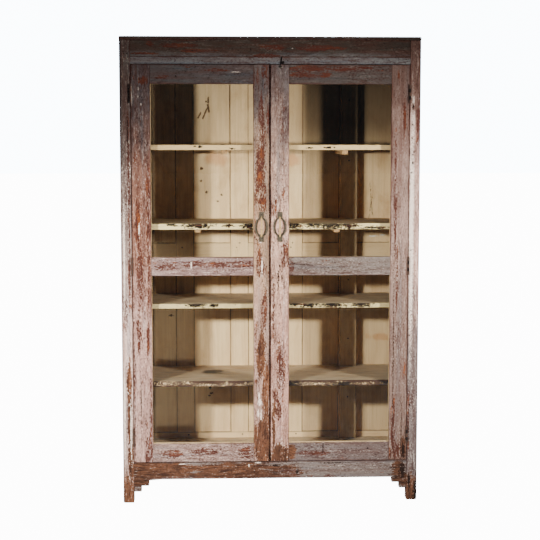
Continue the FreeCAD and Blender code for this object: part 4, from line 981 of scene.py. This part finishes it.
class CABINET_OT_shelves(bpy.types.Operator):
    """Make the floor board and the four shelves"""

    bl_idname = "cabinet.shelves"
    bl_label = "Shelves"

    def execute(self, context):
        for node, (edge_tone, worn, brown, marks) in SHELF_FINISH.items():
            spot = STAIN if node == "shelf_4" else None
            paint = shelf_paint(f"paint_{node}", edge_tone, marks, worn, brown, spot)
            worn_board(node, paint, step=0.012, wave=2.0)
        return {"FINISHED"}


class CABINET_OT_bearers(bpy.types.Operator):
    """Make the bearers and runners under the shelves"""

    bl_idname = "cabinet.bearers"
    bl_label = "Shelf supports"

    def execute(self, context):
        paint = settings("paint")
        wood = plain_wood("tan_bearer_wood", paint.bearer, rgb(150, 100, 60))
        for node in ("shelf_bearers", "shelf_runners"):
            worn_board(node, wood)
        return {"FINISHED"}


class CABINET_OT_doors(bpy.types.Operator):
    """Make the stiles and rails of both doors"""

    bl_idname = "cabinet.doors"
    bl_label = "Door frames"

    def execute(self, context):
        for (side, part), (tones, marks, facts) in DOOR_FINISH.items():
            paint = worn_paint(f"paint_{side}_{part}", tones, marks, **facts)
            worn_board(f"{side}_door_{part}", paint)
        return {"FINISHED"}


class CABINET_OT_glazing(bpy.types.Operator):
    """Give the panes their glass and make the glazing beads"""

    bl_idname = "cabinet.glazing"
    bl_label = "Glazing"

    def execute(self, context):
        glass = old_glass()
        beads = inner_paint("cream_beads")
        for side in SIDES:
            for level in ("upper", "lower"):
                repaint(f"{side}_door_{level}_pane", glass)
            worn_board(f"{side}_door_glazing_beads", beads)
        return {"FINISHED"}


class CABINET_OT_fittings(bpy.types.Operator):
    """Give the hinges, screws, nails, pulls and hook their metal"""

    bl_idname = "cabinet.fittings"
    bl_label = "Metal fittings"

    def execute(self, context):
        metal = settings("metal")
        iron = old_metal("old_iron", metal.iron, metal.rust, 0.5, 0.6, 0.35)
        black_iron = old_metal("black_iron", metal.iron_dark, metal.iron, 0.25, 0.5, 0.5)
        pulls = old_metal("old_pull_metal", metal.brass, metal.brass_dark, 0.5, 0.4, 0.3)
        # Painted highlight: the grips are bright in a band round the pulls' middle height and dull towards
        # their ends.
        grip_highlights = old_metal("pull_grip_painted_highlight", metal.grip, metal.brass, 0.4, 0.35, 0.3, (PULL_HEIGHT, GRIP_HIGHLIGHT_HALF))
        steel = old_metal("old_screw_steel", metal.steel, metal.rust, 0.4, 0.5, 0.4)
        for node in frame["nodes"]:
            if "screws" in node:
                repaint(node, steel)
            elif node.endswith("pull_bow"):
                repaint(node, grip_highlights)
            elif "pull" in node or "door_nails" in node:
                repaint(node, pulls)
            elif "right_hinge" in node or node.startswith("latch"):
                repaint(node, black_iron)
            elif "hinge" in node:
                repaint(node, iron)
        return {"FINISHED"}


class CABINET_OT_nails(bpy.types.Operator):
    """Make the nail heads of the case and the brads of the glazing beads"""

    bl_idname = "cabinet.nails"
    bl_label = "Nails"

    def execute(self, context):
        metal = settings("metal")
        nails = old_metal("old_nail_iron", metal.iron_dark, metal.rust, 0.5, 0.6, 0.5)
        nail_heads("case_nail_heads", BODY_OF["back_rail_top"], case_spots(), metal.nail_radius, nails)
        for side in SIDES:
            nail_heads(f"{side}_bead_brads", BODY_OF[f"{side}_door_top_rail"], bead_spots(side),
                       metal.nail_radius * 0.5, nails)
        return {"FINISHED"}


def repaint(node, material):
    """Puts a material on a CAD node's own slots."""
    data = frame["nodes"][node].data
    if not data.materials:
        data.materials.append(material)
    for index in range(len(data.materials)):
        data.materials[index] = material


# Marks and finishes


# Marks at their places in a front view, in millimetres, by kind: X, Z, half width and half height, or for a
# crack X, Z, run in X, run in Z and width.
LEFT_POST_MARKS = {
    "bare": [(-585, 20, 60, 110), (-577, 430, 11, 220), (-573, 165, 14, 100)],
    "red": [(-588, 781, 8, 70), (-572, 1300, 5, 300), (-572, 950, 5, 120)],
    "white": [(-593, 1025, 3, 180), (-598, 370, 4, 150), (-590, 470, 10, -14, 1.6), (-584, 400, 10, 16, 1.4),
        (-572, 300, 3, 100)],
    "dark": [(-575, 1520, 2, 60)],
}
RIGHT_POST_MARKS = {
    "bare": [(590, 0, 60, 110)],
    "dark": [(600, 30, 10, 50), (572, 80, 6, 30), (574, 1549, 3, 3), (575, 1428, 3, 3), (575, 1620, 3, 12),
        (569, 690, 3, 3), (572, 1495, 2.5, 5), (580, 1440, 3, 4), (576, 1395, 2.5, 7), (571, 1355, 3, 4),
        (572, 1040, 3, 3), (573, 400, 3, 4)],
    "white": [(573, 1140, 8, 420), (577, 1645, 4, 20), (579, 1570, 4, 30)],
    "red": [(568, 360, 4, 140), (595, 1560, 6, 100)],
}
FRIEZE_MARKS = {
    "red": [(-361, 1861, 70, 9), (-480, 1868, 12, 10), (-291, 1842, 60, 6), (186, 1852, 90, 12),
        (14, 1857, 50, 12), (-18, 1822, 50, 10), (-508, 1830, 60, 4)],
    "dark": [(420, 1848, 140, 14, 1.6), (485, 1860, 30, -50, 1.6), (-360, 1838, 100, 10, 1.4),
        (-260, 1848, 90, -12, 1.4), (-80, 1848, 3, 3)],
    "white": [(85, 1852, 3, 1.5)],
}
APRON_MARKS = {
    "bare": [(-450, 135, 200, 40), (-140, 128, 240, 45), (-540, 90, 60, 30), (530, 135, 26, 50),
        (550, 90, 60, 30)],
    "white": [(-364, 161, 12, 2), (-54, 164, 12, 2), (-90, 152, 2.5, 5)],
    "dark": [(20, 152, 20, 4), (110, 125, 6, 12), (545, 125, 12, 30), (357, 161, 3, 3), (494, 139, 3, 3),
        (260, 160, 50, 2)],
    "red": [(80, 122, 50, 20), (240, 108, 30, 6)],
}
WALL_MARKS = {
    "stain": [(-217, 1407, 60, 35), (100, 1400, 50, 30), (500, 620, 50, 20)],
    "dark": [(-252, 1672, -2, -22, 5.2), (-256, 1628, -20, -46, 4.2), (-254, 1640, 4, -30, 5.8),
        (-286, 1606, -10, -22, 4.8), (-262, 1655, 3, 4), (-283, 1365, 6, 6), (-285, 1310, 5, 4),
        (-262, 1262, 5, 5), (-213, 1222, 5, 4), (-196, 1250, 4, 4), (-118, 1040, 4, 3), (113, 1040, 4, 3),
        (454, 1300, 12, -140, 1.6), (463, 1240, -14, -100, 1.6), (-420, 720, 8, 5), (500, 1630, 2, 2),
        (-250, 400, 4, 8), (-245, 372, 8, 4), (-252, 362, 5, 3)],
    "white": [(470, 1068, 16, 3), (510, 1073, 14, 3)],
}
# Place of the dark stain on the fourth shelf, in metres.
STAIN = (-0.233, 0.05, 0.4985)
# Shelves: screen colour of the front edge, how chipped and how brown it is, and its marks.
SHELF_FINISH = {
    "shelf_1": ((236, 198, 146), 0.12, 0.0, {
        "dark": [(-284, 1461, 8, 4), (-306, 1462, 5, 3), (-155, 1452, 10, 3), (160, 1455, 12, 3),
            (240, 1457, 20, 4)],
    }),
    "shelf_2": ((255, 226, 168), 0.2, 0.0, {
        "dark": [(-295, 1141, 55, 12), (-85, 1138, 30, 12), (95, 1140, 35, 14), (178, 1143, 40, 12),
            (255, 1139, 55, 15), (325, 1140, 36, 13), (-170, 1140, 20, 6), (430, 1130, 50, 5),
            (-400, 1143, 20, 5)],
    }),
    "shelf_3": ((255, 226, 166), 0.3, 0.25, {
        "dark": [(-305, 814, 34, 9), (-235, 811, 16, 6), (160, 813, 40, 11), (260, 812, 45, 12),
            (380, 813, 40, 10), (100, 816, 30, 6)],
    }),
    "shelf_4": ((240, 204, 160), 0.5, 1.0, {
        "white": [(-430, 488, 40, 8), (-350, 490, 20, 6), (-185, 486, 18, 10), (-260, 481, 50, 5),
            (-100, 482, 30, 6), (185, 482, 60, 6), (400, 482, 50, 4), (290, 492, 20, 2)],
        "dark": [(100, 484, 40, 8), (300, 482, 50, 8), (470, 486, 20, 8)],
    }),
    "floor_board": ((236, 198, 150), 0.3, 0.3, {}),
}
# Pieces of the doors: tones for the low, middle and top part of the cabinet, marks, and how they are worn.
DOOR_FINISH = {
    ("left", "outer_stile"): (((190, 154, 142), (145, 104, 87), (76, 69, 69)), {
        "orange": [(-536, 1130, 10, 100), (-509, 1724, 16, 18), (-500, 678, 6, 65)],
        "red": [(-537, 700, 11, 90), (-556, 500, 3, 340), (-490, 360, 4, 200), (-495, 1145, 6, 300),
            (-500, 210, 16, 70), (-530, 950, 12, 120)],
        "dark": [(-530, 420, 2, 100)],
        "white": [(-556, 1660, 1.6, 30), (-531, 1660, 2, 6), (-520, 1630, 3, 5), (-530, 1690, 2, 6),
            (-532, 1130, 3, 20)],
    }, {"red": 0.36, "white": 0.5, "calm": 0.65}),
    ("left", "meeting_stile"): (((188, 151, 133), (176, 142, 114), (86, 78, 76)), {
        "red": [(-38, 1593, 10, 90), (-40, 1360, 20, 160), (-40, 985, 18, 50), (-30, 800, 14, 80)],
        "orange": [(-38, 1240, 18, 16), (-42, 1335, 14, 50), (-36, 1430, 10, 30)],
        "bare": [(-36, 600, 20, 110), (-22, 480, 18, 120), (-30, 240, 45, 130)],
        "white": [(-42, 1078, 6, 6), (-36, 975, 3, 30), (-45, 415, 7, 12), (-52, 370, 4, 14),
            (-40, 360, 3, 20), (-48, 440, 3, 16)],
    }, {"red": 0.44, "white": 0.45}),
    ("left", "top_rail"): (((73, 71, 71),) * 3, {
        "red": [(-220, 1766, 50, 6), (-436, 1736, 28, 8)],
        "white": [(-142, 1758, 16, 1.6)],
        "dark": [(-380, 1742, 3, 4)],
    }, {"red": 0.32, "white": 0.3}),
    ("left", "mid_rail"): (((150, 126, 120),) * 3, {
        "red": [(-240, 985, 150, 14), (-130, 985, 100, 14), (-420, 975, 50, 14)],
        "white": [(-323, 981, 2.5, 12)],
    }, {"red": 0.38, "white": 0.7}),
    ("left", "bottom_rail"): (((150, 125, 116),) * 3, {
        "red": [(-261, 212, 70, 14), (-407, 205, 40, 16), (-100, 200, 30, 30)],
    }, {"red": 0.38, "white": 0.6, "calm": 0.65, "ledge": True}),
    ("right", "outer_stile"): (((127, 105, 95), (152, 127, 116), (101, 81, 74)), {
        "orange": [(541, 1587, 7, 80)],
        "red": [(507, 1244, 6, 220), (504, 300, 10, 120), (520, 200, 30, 50), (515, 900, 4, 140)],
        "bare": [(545, 215, 14, 60)],
        "dark": [(548, 210, 6, 30), (503, 600, 1.6, 300), (538, 300, 1.6, 120)],
    }, {"red": 0.34, "white": 0.4, "deep": 0.4}),
    ("right", "meeting_stile"): (((194, 150, 133), (208, 168, 147), (94, 84, 82)), {
        "red": [(58, 1016, 16, 50), (10, 839, 6, 120), (40, 550, 16, 100), (25, 400, 20, 60)],
        "bare": [(12, 300, 8, 120), (30, 200, 45, 50)],
        "dark": [(30, 930, 3, 30), (36, 980, 3, 12), (45, 930, 2, 20)],
    }, {"red": 0.38, "white": 0.8, "deep": 0.3}),
    ("right", "top_rail"): (((74, 68, 65),) * 3, {
        "orange": [(170, 1770, 45, 8), (222, 1748, 30, 14), (135, 1744, 14, 8)],
        "red": [(175, 1772, 90, 12), (300, 1772, 80, 9), (142, 1746, 50, 12), (74, 1748, 20, 10),
            (380, 1775, 40, 6)],
    }, {"red": 0.34, "white": 0.3}),
    ("right", "mid_rail"): (((116, 106, 100),) * 3, {
        "red": [(85, 975, 10, 30)],
        "dark": [(80, 987, 90, -6, 1.8)],
    }, {"red": 0.28, "white": 0.35, "calm": 0.1}),
    ("right", "bottom_rail"): (((105, 94, 91),) * 3, {
        "bare": [(85, 210, 20, 30)],
        "red": [(182, 202, 60, 10)],
        "dark": [(400, 220, 3, 3), (215, 225, 2, 20)],
    }, {"red": 0.36, "white": 0.35, "calm": 0.15, "deep": 0.3, "ledge": True}),
}


# Panel and registration


class CABINET_PT_panel(bpy.types.Panel):
    """Buttons for each group of pieces"""

    bl_idname = "CABINET_PT_panel"
    bl_label = "Glazed cabinet"
    bl_space_type = "VIEW_3D"
    bl_region_type = "UI"
    bl_category = "Cabinet"

    def draw(self, context):
        for step in STEPS:
            self.layout.operator(step.bl_idname)
        for name, group in SETTINGS.items():
            box = self.layout.box()
            box.label(text=group.__doc__)
            for key in group.__annotations__:
                box.prop(getattr(context.scene, name), key)


STEPS = (
    CABINET_OT_stage, CABINET_OT_posts, CABINET_OT_head, CABINET_OT_base, CABINET_OT_side_walls,
    CABINET_OT_back_wall, CABINET_OT_shelves, CABINET_OT_bearers, CABINET_OT_doors, CABINET_OT_glazing,
    CABINET_OT_fittings, CABINET_OT_nails,
)
CLASSES = (*SETTINGS.values(), *STEPS, CABINET_PT_panel)


def register():
    for made in CLASSES:
        bpy.utils.register_class(made)
    for name, group in SETTINGS.items():
        setattr(bpy.types.Scene, name, bpy.props.PointerProperty(type=group))


def unregister():
    for name in SETTINGS:
        delattr(bpy.types.Scene, name)
    for made in reversed(CLASSES):
        bpy.utils.unregister_class(made)


def main():
    register()
    for step in STEPS:
        family, name = step.bl_idname.split(".")
        getattr(getattr(bpy.ops, family), name)()


if __name__ == "__main__":
    main()
